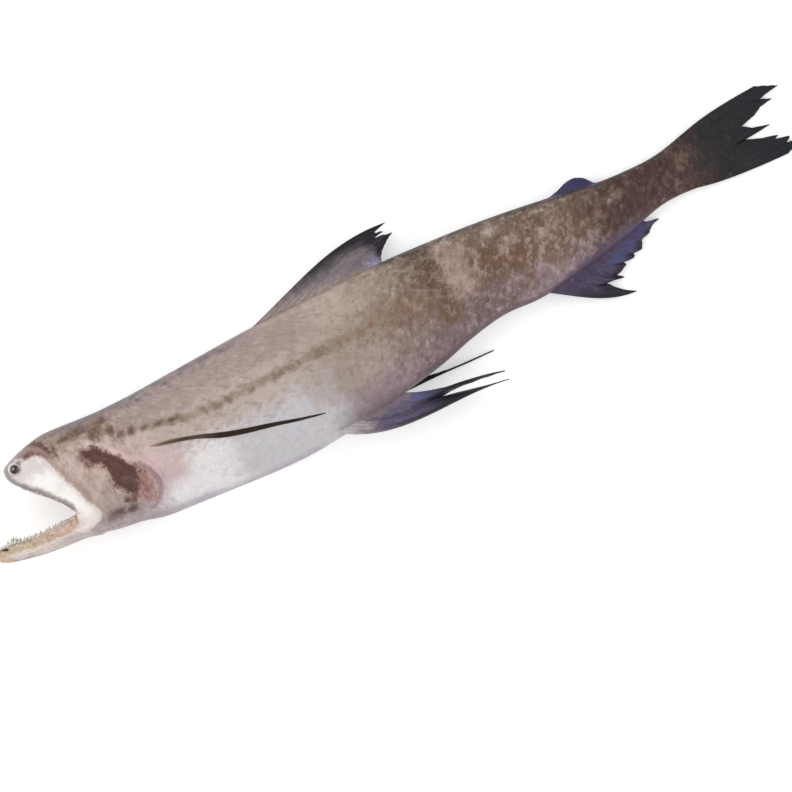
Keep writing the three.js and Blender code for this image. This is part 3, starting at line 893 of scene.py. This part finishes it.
def trunk_skin(paint):
    """Colour and relief of the skin from nape to tail, for the body and for the roots of the fins."""
    along, rise = paint.attribute("along"), paint.attribute("rise")
    coarse, blotch, fine = paint.uneven(9.0), paint.uneven(2.8), paint.uneven(0.8, roughness=0.7)
    x = along + blotch * 14 + coarse * 12
    level = rise + blotch * 0.45 + coarse * 0.2

    belly = paint.zones(
        x, CHIN, (46, 60, BELLY_WHITE), (72, 86, BELLY_GREY), (108, 124, MAUVE), (134, 156, DEEP_MAUVE),
    )
    lower = paint.zones(
        x, LOW_CHEEK, (48, 56, ROSE), (60, 70, WHITISH), (73, 86, BELLY_GREY), (102, 122, GREY_MAUVE),
        (128, 148, BROWN_MAUVE), (150, 158, LOW_BAND),
    )
    middle = paint.zones(
        x, CHEEK, (50, 62, PALE_FLANK), (104, 126, OLIVE), (130, 150, BROWN), (150, 158, BAND),
    )
    upper = paint.zones(
        x, HEAD_TOP, (46, 58, FLANK), (112, 124, PALE_BACK), (127, 140, OLIVE), (142, 156, HIGH_BAND),
    )
    color = paint.mix(level.step(-0.74, -0.42), belly, lower)
    color = paint.mix(level.step(-0.26, 0.10), color, middle)
    color = paint.mix((level - x.fade(44, 58) * 0.16).step(0.32, 0.64), color, upper)

    # The rear half begins at a sharp curved edge. It has thin scales.
    to_tail = (240, 256, TAIL_BLACK)
    belly = paint.zones(x, REAR_MAUVE, (174, 188, MAUVE), (196, 208, PURPLE), (214, 228, STALK), to_tail)
    lower = paint.zones(x, REAR_MAUVE, (170, 184, GREY_BROWN), (198, 218, STALK), to_tail)
    middle = paint.zones(x, SANDY, (167, 175, REAR_BROWN), (200, 220, STALK), to_tail)
    upper = paint.zones(x, SANDY, (165, 175, REAR), (203, 221, STALK), to_tail)
    rear = paint.mix(level.step(-0.78, -0.52), belly, lower)
    rear = paint.mix(level.step(-0.42, -0.12), rear, middle)
    rear = paint.mix(level.step(0.26, 0.60), rear, upper)
    edge = along + (rise - 0.1) ** 2 * 2.4 + fine * 3
    behind_edge = edge.step(161.4, 163.0)
    color = paint.mix(behind_edge, color, rear)

    # Soft strokes of other tints, weak in front and strong behind.
    rough = x.step(112, 156) * (1 - along.step(147, 154) * (1 - behind_edge) * 0.55)
    smooth = 1 - rough
    off_tail = 1 - (along + blotch * 5).step(240, 252) * 0.85
    stroke = paint.uneven(3.2, (2.0, 1.0, 1.0), 0.55)
    cross = paint.uneven(2.4, (2.0, 1.0, 1.0), -1.05)
    thin = paint.uneven(1.3, (2.2, 1.0, 1.0), 1.1, 2)
    color = paint.mix(stroke.step(0.0, 0.16) * 0.50 * smooth * level.step(-0.50, -0.05), color, TAN)
    color = paint.mix((0 - stroke).step(0.0, 0.16) * 0.48 * smooth * level.step(-0.6, 0.2), color, DUSKY)
    slant = paint.uneven(1.3, (3.6, 0.9, 1.0), -0.55)
    in_front = smooth * level.step(-0.45, 0.0) * x.step(44, 58)
    color = paint.mix(slant.step(0.03, 0.17) * in_front * 0.45, color, PALE_STREAK)
    color = paint.mix((0 - slant).step(0.03, 0.17) * in_front * 0.38, color, DUSKY_STREAK)
    on_stalk = x.step(196, 218)
    darker = paint.mix(on_stalk, RED_BROWN, STALK_DARK)
    paler = paint.mix(on_stalk, FLECK, STALK_FLECK)
    paler = paint.mix((level + 0.3).step(-0.1, 0.2) + on_stalk, MAUVE_FLECK, paler)
    flakes = paint.flakes(paint.place(1.6, (1.8, 1.0, 1.2), 1.05), 1.1)
    grains = paint.flakes(paint.place(0.75, (1.5, 1.0, 1.0), 0.6), 0.9)
    chance = cross + stroke * 0.5 + thin * 0.45 + (flakes - 0.5) * 0.12
    color = paint.mix(chance.step(-0.01, 0.24) * rough * off_tail * 0.55, color, paler)
    color = paint.mix((0 - chance).step(0.0, 0.22) * rough * off_tail * 0.50, color, darker)
    color = paint.mix((grains + thin).step(0.84, 1.02) * (rough * 0.20 + 0.12) * off_tail, color, paler)
    specks = (0.12 - grains - thin - blotch * 0.5).step(0.0, 0.16)
    color = paint.mix(specks * (along.step(100, 140) * 0.22 + 0.04), color, darker)
    tone = 1 + (flakes + grains - 1) * (0.05 + rough * 0.08)
    tone = tone + fine * (0.28 + rough * 0.34) + blotch * (0.34 + rough * 0.4) + thin * (0.24 + rough * 0.34)
    return SimpleNamespace(
        color=paint.brighten(color, tone), relief=fine * 0.8 + grains * 0.25 + thin * (rough * 0.8 + 0.2),
        x=x, along=along, rise=rise, level=level, blotch=blotch, fine=fine, grains=grains, thin=thin,
    )


def skin_material():
    paint = Paint("wet_fish_skin")
    trunk = trunk_skin(paint)
    color, along, rise, level = trunk.color, trunk.along, trunk.rise, trunk.level
    blotch, fine, grains, thin = trunk.blotch, trunk.fine, trunk.grains, trunk.thin
    y = paint.attribute("y")

    def cover(share, tint):
        """Lays a colour over what is there."""
        nonlocal color
        color = paint.mix(share, color, tint)

    # The dark back pauses at the back fin. Painted shade darkens the belly's edge and the belly fin's root,
    # and a darker rim runs along the rear belly's edge.
    behind = along.step(110, 146)
    back = (rise + blotch * 0.50 + fine * 0.12).step(0.80, 1.04) * (1 - behind)
    back = back + (rise + blotch * 0.28 + fine * 0.10).step(0.85, 1.00) * behind
    ragged = trunk.x + fine * 10
    at_back_fin = ragged.between(90, 108, 142, 152)
    slate = paint.zones(trunk.x, HEAD_TOP, (24, 34, SLATE), (134, 150, DARK_BROWN), (198, 214, NEAR_BLACK))
    beside_fin = (rise + blotch * 0.06).step(0.975, 1.0) * 0.5
    back = back * (1 - at_back_fin) + beside_fin * at_back_fin
    slate = paint.brighten(slate, 1 + fine * 1.6 + blotch * 1.4 + thin * 1.6)
    cover(back * (0.84 + thin * 0.9 + blotch * 0.8), slate)
    fin_base = (rise + fine * 0.05).step(0.93, 0.985) * at_back_fin
    cover(fin_base * fine.step(-0.1, 0.1) * 0.4, BACK_FIN_BASE)
    off_belly_fin = 1 - along.between(103, 110, 130, 137)
    # Painted shade along the belly's edge.
    cover((blotch * 0.1 - rise).step(0.88, 1.0) * along.fade(180, 200) * off_belly_fin * 0.55, BELLY_EDGE_SHADE)
    cover((blotch * 0.12 - rise).step(0.80, 0.97) * along.between(40, 46, 64, 80) * 0.6, BREAST_EDGE_SHADE)
    cover((fine * 0.08 - rise).step(0.86, 0.98) * along.between(136, 150, 232, 246) * 0.80, REAR_EDGE)
    # Painted shade on the flank at the belly fin's root.
    cover((y + 9.4 + blotch * 6).fade(-2.2, 2.6) * along.between(106, 120, 138, 146) * 0.16, BELLY_FIN_ROOT_SHADE)
    above_anal_fin = y + 4.4 - (along - 191) * 0.2 + blotch * 5
    cover(above_anal_fin.fade(0.0, 2.4) * along.between(186, 197, 220, 229) * 0.75, ANAL_FIN_BASE)

    # The lateral line: an uneven olive-brown stripe with darker marks.
    line = paint.attribute("lateral_line") + blotch * 3.6 + fine * 1.5
    on_line = along.between(56, 66, 190, 222)
    marks = paint.noise(paint.place(2.5, (1.2, 1.5, 1.0), 0.4), 3)
    marked = marks.step(0.47, 0.62)
    cover(line.fade(0.1, 2.3) * on_line * along.fade(128, 158) * 0.62, LINE_OLIVE)
    cover(line.fade(0.7, 2.8) * marked * on_line * (1 - along.step(112, 150) * 0.6) * 0.62, LINE_MARK)
    cover(line.fade(0.4, 3.0) * grains.step(0.60, 0.85) * along.step(92, 112) * on_line * 0.36, LINE_RUST)
    cover(marked * line.fade(1.2, 5.0) * along.between(124, 134, 150, 162) * 0.55, RUST)
    # Pale patches of the skin, and a painted highlight by the breast fin's root.
    pale = paint.attribute("pale") * (marks.step(0.40, 0.62) * 0.8 + 0.1)
    cover(pale * (thin * 2 + 0.8) * 0.75, PALE_PATCH_AND_HIGHLIGHT)

    # The head: brown mottling on top, paler flesh on the cheek.
    head = (along + blotch * 12).fade(50, 62)
    mottle = paint.noise(paint.place(2.6, (1.6, 1.0, 1.0), -0.5), 4, 0.65)
    streak = paint.noise(paint.place(1.8, (0.7, 2.2, 1.0), 0.25), 3, 0.6)
    cover(head * mottle.step(0.48, 0.64) * (level + blotch * 0.4).step(0.46, 0.84) * 0.60, HEAD_MOTTLE)
    cover(head * streak.step(0.52, 0.66) * 0.46, HEAD_STREAK)
    on_cheek = 1 - rise.size().step(0.78, 0.94) * 0.8
    cover(head * (1 - streak).step(0.46, 0.70) * on_cheek * 0.55, HEAD_PALE)
    cover(head * (thin + blotch * 0.3).step(0.02, 0.20) * 0.26, HEAD_BROWN)
    cover(head * (grains + fine).step(0.86, 1.00) * 0.22, HEAD_GRAIN)
    spots = paint.attribute("brown") + blotch * 1.1 + fine * 0.8 + thin * 0.8
    cover(spots.step(-0.05, 1.10) * 0.90, SPOT_BROWN)
    cover((rise + blotch * 0.3).step(0.80, 0.97) * ragged.between(24, 38, 40, 74) * 0.60, HEAD_BACK)

    # Behind the gill cover the flank is rosy.
    blush = (y - 5.0).size().fade(1.5, 7.5) * along.step(53, 57) * along.fade(57, 67)
    cover(blush * (0.50 + blotch), BLUSH)

    # The gill: dark red-brown gill colour and painted shade in the hollow, rosy flesh below it, a pale line
    # in front of the body and a painted shadow along the gill cover's rear edge.
    flesh = paint.attribute("flesh")
    cover((flesh + blotch * 5 + fine * 3).step(-1.2, 1.2) * 0.82, FLESH)
    cover((flesh + blotch * 4).step(-0.8, 0.6) * mottle.step(0.46, 0.60) * 0.6, PALE_FLESH)
    cover((flesh + blotch * 4).step(-0.2, 1.0) * streak.step(0.50, 0.62) * 0.6, DARK_FLESH)
    cover((paint.attribute("gill_rim") + blotch * 2).fade(0.3, 1.5) * 0.85, GILL_RIM)
    # Painted shadow under the gill cover's rear edge.
    cover((paint.attribute("gill_edge_shadow") + blotch * 2.2 + fine).fade(0.2, 1.5) * 0.70, GILL_EDGE_SHADOW)
    hollow = paint.attribute("hollow") + blotch * 5.0 + fine * 3.4
    cover((paint.attribute("rosy") + blotch + fine * 0.8).step(0.2, 0.9) * 0.6, ROSY)
    # Gill colour with painted shade, darkest deep in the hollow.
    cover(hollow.step(-1.3, 0.2) * 0.75, HOLLOW_BRIM_AND_SHADE)
    cover(hollow.step(-0.3, 0.8) * 0.90, HOLLOW_GILL_AND_SHADE)
    cover(hollow.step(1.0, 2.4) * 0.5, HOLLOW_DEEP_SHADE)
    cover(hollow.step(0.2, 1.6) * (along - y * 0.25).step(45.4, 48.6) * 0.55, HOLLOW_MAUVE)
    cover(hollow.step(-0.4, 1.0) * mottle.step(0.50, 0.62) * 0.50, HOLLOW_MOTTLE)
    cover(hollow.step(0.0, 1.2) * (1 - streak).step(0.54, 0.66) * 0.45, HOLLOW_STREAK)
    cover((flesh + fine * 4).step(-0.4, 0.8) * (grains + blotch * 1.6).step(0.84, 0.98) * 0.45, FLESH_FLECK)

    # The jaws: pale bands along the lower one.
    jaw_rise = paint.attribute("jaw_rise") + blotch * 0.42 + fine * 0.16
    bands = paint.zones(
        jaw_rise, JAW_UNDER, (0.00, 0.16, JAW_LOW), (0.20, 0.32, JAW_PALE), (0.40, 0.54, JAW_BEIGE),
        (0.80, 0.96, JAW_RIM),
    )
    pink = (along + blotch * 16).step(16, 22) * (jaw_rise + fine * 0.6).step(0.40, 0.62)
    pink = pink * jaw_rise.fade(0.80, 0.95) * (1 - along.step(23.0, 27.5) * 0.75)
    specks = paint.noise(paint.place(1.5, (0.8, 1.1, 1.0)), 3)
    for share, tint in (
        ((along + blotch * 8).step(15, 24) * jaw_rise.fade(0.30, 0.42) * 0.6, JAW_BACK),
        (pink * 0.55, JAW_PINK),
        ((along + blotch * 4).fade(3.0, 5.5) * 0.7, JAW_TIP),
        (specks.step(0.52, 0.64) * jaw_rise.step(0.46, 0.70) * 0.70, JAW_SPECK),
        ((1 - specks).step(0.54, 0.66) * 0.35, JAW_FLECK),
    ):
        bands = paint.mix(share, bands, tint)
    cover(paint.attribute("jaw"), paint.brighten(bands, 1 + fine * 0.9))
    cover(paint.attribute("jaw_spot").fade(0.55, 1.15) * 0.95, JAW_TIP_SPOT)

    # White skin behind the upper lip, with a grey rim in front and a brown one behind.
    white = paint.attribute("white") + blotch * 1.6 + fine * 0.8
    tints = paint.noise(paint.place(4.2), 2)
    high = (y + blotch * 8).step(14.6, 18.6)
    cover(white.step(-0.6, 0.5), CHEEK_EDGE)
    cover(white.step(0.3, 1.8) * 0.9, CHEEK_WHITE)
    cover(white.step(-0.1, 1.2) * high * 0.85, CHEEK_GREY)
    cover(white.step(0.2, 1.4) * high * (1 - tints).step(0.52, 0.62) * 0.6, CHEEK_SILVER)
    cover(white.step(0.0, 1.2) * tints.step(0.50, 0.64) * (1 - high) * 0.5, CHEEK_CREAM)
    cover(white.step(-0.3, 0.8) * (y + blotch * 4).fade(-2.6, 1.6) * 0.7, CHEEK_CORNER)
    cover((paint.attribute("eye") + blotch * 2).fade(2.4, 5.4) * 0.8, AROUND_EYE)
    crown = paint.attribute("crown") + blotch * 3.0 + fine * 1.5
    cover(crown.step(-1.3, 0.2) * 0.95, CROWN)
    mottled = mottle.step(0.46, 0.62)
    cover(crown.step(-0.6, 0.8) * mottled * 0.6, CROWN_MOTTLE)
    cover((paint.attribute("ridge") + blotch * 2.4 + fine * 1.2).fade(0.1, 1.6) * 0.70, RIDGE)
    lip = paint.attribute("lip") + blotch * 1.8 + fine * 1.2
    lip_tint = paint.mix((paint.attribute("aside") + blotch * 0.7).step(0.28, 0.64), LIP_FLESH, SNOUT_GREY)
    cover(lip.fade(0.50, 1.70) * 0.82, paint.mix(mottled * 0.3, lip_tint, LIP_MOTTLE))
    # Painted shade beside the eye.
    cover((paint.attribute("eye_socket_shade") + blotch * 0.8 + fine * 0.8).step(0.25, 0.85) * 0.8, EYE_SOCKET_SHADE)

    small_fin = paint.attribute("small_fin") + blotch * 1.6
    cover(small_fin.step(-0.5, 0.5) * 0.9, SMALL_FIN_EDGE)
    cover(small_fin.step(0.9, 1.8) * 0.7, SMALL_FIN_BLUE)
    cover(paint.attribute("mouth") * lip.step(0.9, 2.2), paint.zones(along + blotch * 6, *THROAT))

    return paint.set(
        Base_Color=color,
        Roughness=0.46 + fine * 0.4,
        Specular_IOR_Level=0.20,
        Subsurface_Weight=0.06,
        Subsurface_Radius=(0.0018, 0.0010, 0.0008),
        Coat_Weight=0.05,
        Coat_Roughness=0.2,
        Normal=paint.bump(trunk.relief + blotch * 0.6, 0.9),
    )


# ---------------------------------------------------------------- fins

# For each fin: its colour half way out, at the tips, along its first ray, and near its last ray.
FIN_COLORS = {
    "back_fin": ((124, 113, 119), (46, 40, 48), (36, 35, 40), (146, 140, 166)),
    "anal_fin": ((78, 66, 92), (44, 38, 52), (48, 44, 52), (64, 60, 98)),
    "left_belly_fin": ((104, 97, 118), (42, 41, 48), (58, 54, 60), (98, 100, 142)),
    "right_belly_fin": ((82, 64, 64), (48, 42, 44), (44, 40, 44), (60, 52, 60)),
    "tail_fin": ((33, 33, 38), (28, 31, 35), (28, 30, 34), (29, 31, 36)),
}
# Where along its rays a fin leaves the body's colour, where its tips begin, and how wide its dark front is.
FIN_CHANGES = {
    "back_fin": (0.04, 0.44, 0.60, 0.90, 0.08, 0.46),
    "anal_fin": (-0.06, 0.16, 0.72, 0.92, 0.04, 0.20),
    "left_belly_fin": (0.12, 0.34, 0.50, 0.84, 0.04, 0.20),
    "right_belly_fin": (0.10, 0.40, 0.50, 0.75, 0.03, 0.17),
    "tail_fin": (0.46, 0.76, 0.80, 0.95, 0.00, 0.05),
}


def ray_stripes(rays):
    """0 to 1 and back for each ray."""
    return (rays * (2 * math.pi)).wave() * 0.5 + 0.5


def fin_material(name):
    half_way, tip, first, last = FIN_COLORS[name]
    leaves, left, tip_from, tip_full, front_from, front_full = FIN_CHANGES[name]
    paint = Paint(name + "_skin")
    trunk = trunk_skin(paint)
    across, out = paint.attribute("across"), paint.attribute("out")
    blotch, fine = trunk.blotch, trunk.fine
    level = out + blotch * 0.45
    inner = paint.mix((across + blotch * 0.5).step(0.66, 0.92), half_way, last)
    ray = ray_stripes(across * FINS[name]["rays"] + blotch * 1.6)
    inner = paint.brighten(inner, 0.90 + ray * 0.18 + fine + blotch)
    color = paint.mix(level.step(leaves, left), trunk.color, inner)
    tips = level.step(tip_from, tip_full)
    if name == "left_belly_fin":
        tips = (trunk.along + blotch * 8).step(134, 149)
    color = paint.mix(tips, color, paint.brighten(tip, 0.92 + ray * 0.15 + fine * 0.8))
    front = (across + blotch * 0.24).fade(front_from, front_full) * level.step(0.16, 0.56)
    color = paint.mix(front * 0.9, color, first)
    if name == "anal_fin":
        # A painted sheen: a bluish reflection part way out on the fin.
        sheen = (out - 0.62).size().fade(0.06, 0.24) * (across - 0.62).size().fade(0.06, 0.24)
        color = paint.mix(sheen * (0.45 + blotch), color, ANAL_FIN_SHEEN)
    return paint.set(
        Base_Color=color,
        Roughness=0.50 + fine * 0.3,
        Specular_IOR_Level=0.22,
        Coat_Weight=0.05,
        Coat_Roughness=0.25,
        Normal=paint.bump(ray * 0.3 + fine + trunk.grains * 0.2, 0.8),
    )


def make_fin(name):
    fin = FINS[name]
    piece = fin_plate(name, fin, fin["rays"] * 10, 42)
    finish_piece(piece, fin_material(name), "skin", "fish")


def breast_fin_material():
    paint = Paint("breast_fin_skin")
    speck = paint.uneven(0.9)
    ray = ray_stripes(paint.attribute("across") * BREAST_FIN["rays"] + speck)
    color = paint.zones(paint.attribute("out") + speck * 0.2, *BREAST_FIN_ZONES)
    color = paint.brighten(color, 0.85 + ray * 0.35 + speck * 1.2)
    bump = paint.bump(ray + speck, 0.8)
    return paint.set(Base_Color=color, Roughness=0.5, Specular_IOR_Level=0.25, Coat_Weight=0.05, Normal=bump)


WAY_STEP = 0.01  # share of the fin's length over which its direction is read


def make_breast_fin(flank, material):
    """A fan of rays folded shut: a strap that lies along the flank."""
    piece = add_grid("left_breast_fin" if flank == LEFT else "right_breast_fin", 90, 24)
    flat = corners(piece)
    out, across = flat[:, 0] + 0.5, flat[:, 1] + 0.5
    line, rays = BREAST_FIN["line"], BREAST_FIN["rays"]
    knots = np.linspace(0, 1, len(line))
    place, ahead, behind = (
        curve_through(knots, line, np.clip(out + step, 0, 1)) for step in (0, WAY_STEP, -WAY_STEP)
    )
    way = ahead - behind
    way /= np.linalg.norm(way, axis=1)[:, None]
    width = np.interp(out, *BREAST_FIN["width"])
    side = place + np.column_stack([-way[:, 1], way[:, 0]]) * ((across - 0.5) * width)[:, None]
    crown = np.sqrt(np.clip(1 - (2 * across - 1) ** 2, 0, 1))
    relief = 0.8 + 0.2 * np.cos(2 * math.pi * rays * (across - 0.5))
    if flank == LEFT:
        thick = np.interp(out, *BREAST_FIN["thick"]) * crown * relief
        height = flank_height(side[:, 0], side[:, 1], LEFT) - 0.12 + thick
    else:
        height = np.full(len(side), 0.03)
    move_corners(piece, np.column_stack([side, height]))
    store(piece, across=across, out=out)
    modify(piece, "SOLIDIFY", thickness=0.5, offset=-1.0 if flank == LEFT else 1.0)
    finish_piece(face_outwards(piece), material, "skin", "fish")


# ---------------------------------------------------------------- teeth

# A cone with a blunt end. It sinks into the gum, leans back, hooks further back and leans inward.
TOOTH = {
    "radius": 0.58, "length": 1.10, "sunk": 0.35, "lean": 0.30, "hook": 0.30, "inward": 0.15, "taper": 0.55,
    "blunt": 0.35,
}
NARROWEST_TOOTH_PLACE = 0.4  # from the middle of the jaw
# Each row: its jaw and rim, which way it points, its first and last x, how many teeth there are on
# each side, how far they stand inside the rim, and their size.
TOOTH_ROWS = [
    (JAW, LOWER_RIM, UP, 1.8, 27.0, 34, 0.6, 0.75),
    (JAW, LOWER_RIM, UP, 2.6, 24.0, 22, 1.4, 1.05),
    (JAW, LOWER_RIM, UP, 5.0, 7.6, 6, 1.0, 1.7),
    (BODY, UPPER_RIM, DOWN, 16.6, 26.0, 15, 0.9, 0.7),
    (BODY, UPPER_RIM, DOWN, 17.0, 25.0, 11, 1.7, 1.0),
]


def tooth_material():
    paint = Paint("fish_tooth")
    speck = paint.noise(paint.place(0.9), 2)
    color = paint.mix(speck.step(0.38, 0.62), TOOTH_PALE, TOOTH_GREY)
    return paint.set(Base_Color=color, Roughness=0.3 + speck * 0.1, Coat_Weight=0.2, Specular_IOR_Level=0.4)


def tooth_corners(unit, x, flank, table, rim, way, inset, size):
    """Corners of a tooth on a jaw's rim, or None where the jaw is too narrow for it."""
    sections = sections_at(table, rim, np.array([x]), True)
    back, belly, half, middle = (float(part[0]) for part in (
        sections.back, sections.belly, sections.half, sections.middle,
    ))
    aside = half - inset
    if aside < NARROWEST_TOOTH_PLACE:
        return None
    boxy = float((sections.over if way == UP else sections.under)[0])
    reach = (back - belly) / 2
    level = belly + reach + way * reach * (1 - (aside / half) ** boxy) ** (1 / boxy)
    length = TOOTH["length"] * size * random.uniform(0.5, 1.15)
    tall = unit[:, 2] * length - TOOTH["sunk"]
    lean = TOOTH["lean"] * tall + TOOTH["hook"] * unit[:, 2] ** 2 * length
    thin = TOOTH["radius"] * size**0.5 * (1 - TOOTH["taper"] * unit[:, 2])
    z = middle + flank * (aside - TOOTH["inward"] * tall)
    return np.column_stack([x + lean + unit[:, 0] * thin, level + way * tall, z + unit[:, 1] * thin])


def make_teeth():
    deselect()
    bpy.ops.mesh.primitive_cone_add(
        vertices=8, radius1=1, radius2=TOOTH["blunt"], depth=1, location=(0, 0, 0.5),
    )
    first = newest("tooth")
    bpy.ops.object.transform_apply(location=True, rotation=False, scale=False)
    bpy.ops.object.mode_set(mode="EDIT")
    bpy.ops.mesh.select_all(action="SELECT")
    bpy.ops.mesh.subdivide(number_cuts=2)
    bpy.ops.object.mode_set(mode="OBJECT")
    unit = corners(first)
    made = []
    for table, rim, way, start, end, count, inset, size in TOOTH_ROWS:
        for flank in (LEFT, RIGHT):
            for number in range(count):
                x = start + (end - start) * (number + random.uniform(-0.4, 0.4)) / (count - 1)
                points = tooth_corners(unit, x, flank, table, rim, way, inset, size)
                if points is None:
                    continue
                copy = first.copy()
                copy.data = first.data.copy()
                bpy.context.scene.collection.objects.link(copy)
                move_corners(copy, points)
                made.append(copy)
    bpy.data.objects.remove(first)
    teeth = join(made)
    teeth.name = "teeth"
    finish_piece(face_outwards(teeth), tooth_material(), "skin", "fish")


# ---------------------------------------------------------------- eyes


def eye_material():
    paint = Paint("fish_eye")
    flecks = paint.uneven(0.8)
    color = paint.zones(paint.attribute("from_pupil") + flecks * 0.30, *EYE_ZONES)
    # A painted highlight on the eyeball.
    color = paint.mix((paint.attribute("from_glint") + flecks * 0.1).fade(0.08, 0.18), color, GLINT)
    return paint.set(Base_Color=color, Roughness=0.14 + flecks * 0.1, Coat_Weight=0.5, Coat_Roughness=0.05)


def make_eye(flank, material):
    piece = add_ball("left_eyeball" if flank == LEFT else "right_eyeball", 40, 28)
    unit = corners(piece)
    facing = unit[:, 2] * flank
    out = np.arccos(np.clip(facing, -1, 1)) / (math.pi / 2)
    from_glint = np.linalg.norm(unit - np.array((*EYE["glint"], flank)), axis=1)
    store(piece, from_pupil=np.clip(out, 0, 1), from_glint=from_glint)
    radius = EYE["radius"] * (1 - 0.10 * smoothstep(facing, 0.5, 1.0)) * (0.96 + 0.03 * bell(out - 0.35, 0.2))
    height = float(flank_height(EYE["x"], EYE["y"], flank)[0]) - flank * EYE["sunk"]
    move_corners(piece, unit * radius[:, None] + (EYE["x"], EYE["y"], height))
    finish_piece(face_outwards(piece), material, "eye", "eye_left" if flank == LEFT else "eye_right")


# ---------------------------------------------------------------- floor, light and camera

PHOTO_MIDDLE = (131.9, -11.7)
PHOTO_WIDTH = 243.4
PHOTO_TURN = math.radians(-27)
LENS, SENSOR = 500.0, 36.0
SILHOUETTE_HEIGHT = 9.0
SKY, FLOOR_GLOW = 0.50, 0.32
FLOOR_SIZE, FLOOR_LEVEL = 6.0, -0.0002
LIGHT_SIZE = 1.6
# Where each light stands and its power.
LIGHTS = {"key_light": ((-0.62, 0.62, 0.80), 9.8), "fill_light": ((0.70, -0.55, 0.80), 6.8)}


def add_floor():
    deselect()
    bpy.ops.mesh.primitive_plane_add(size=FLOOR_SIZE, location=(0, 0, FLOOR_LEVEL))
    floor = newest("floor")
    bpy.ops.object.transform_apply(location=True)
    paint = Paint("pale_floor")
    color = paint.mix(paint.noise(paint.place(40.0), 2), FLOOR_WHITE, FLOOR_GREY)
    floor.data.materials.append(paint.set(
        Base_Color=color, Roughness=0.9, Specular_IOR_Level=0.0, Emission_Color=WHITE,
        Emission_Strength=FLOOR_GLOW,
    ))


def add_light(name, place, power):
    deselect()
    bpy.ops.object.light_add(type="AREA", location=place)
    light = newest(name)
    light.data.size = LIGHT_SIZE
    light.data.energy = power
    light.rotation_euler = (-Vector(place)).to_track_quat("-Z", "Y").to_euler()


def add_world():
    world = bpy.data.worlds.new("studio")
    world.use_nodes = True
    background = world.node_tree.nodes["Background"]
    background.inputs["Color"].default_value = (1.0, 1.0, 1.0, 1.0)
    background.inputs["Strength"].default_value = SKY
    bpy.context.scene.world = world


def add_camera():
    middle = np.array([*PHOTO_MIDDLE, 0]) * MM + ORIGIN
    distance = PHOTO_WIDTH * MM * LENS / SENSOR + SILHOUETTE_HEIGHT * MM
    place = (middle[0], middle[1], middle[2] + distance)
    bpy.ops.object.camera_add(location=place, rotation=(0, 0, PHOTO_TURN))
    camera = newest("camera")
    camera.data.lens = LENS
    camera.data.sensor_width = SENSOR
    camera.data.clip_start = 0.01
    bpy.context.scene.camera = camera


# ---------------------------------------------------------------- the scene

add_camera()
add_floor()
add_world()
for light_name, (light_place, light_power) in LIGHTS.items():
    add_light(light_name, light_place, light_power)

finish_piece(sculpt_skin(make_body()), skin_material(), "skin", "fish")
for fin_name in FINS:
    make_fin(fin_name)
breast_fin_skin, eye_look = breast_fin_material(), eye_material()
for flank in (LEFT, RIGHT):
    make_breast_fin(flank, breast_fin_skin)
    make_eye(flank, eye_look)
make_teeth()

bpy.context.scene.view_settings.view_transform = "Standard"
bpy.context.scene.view_settings.look = "None"
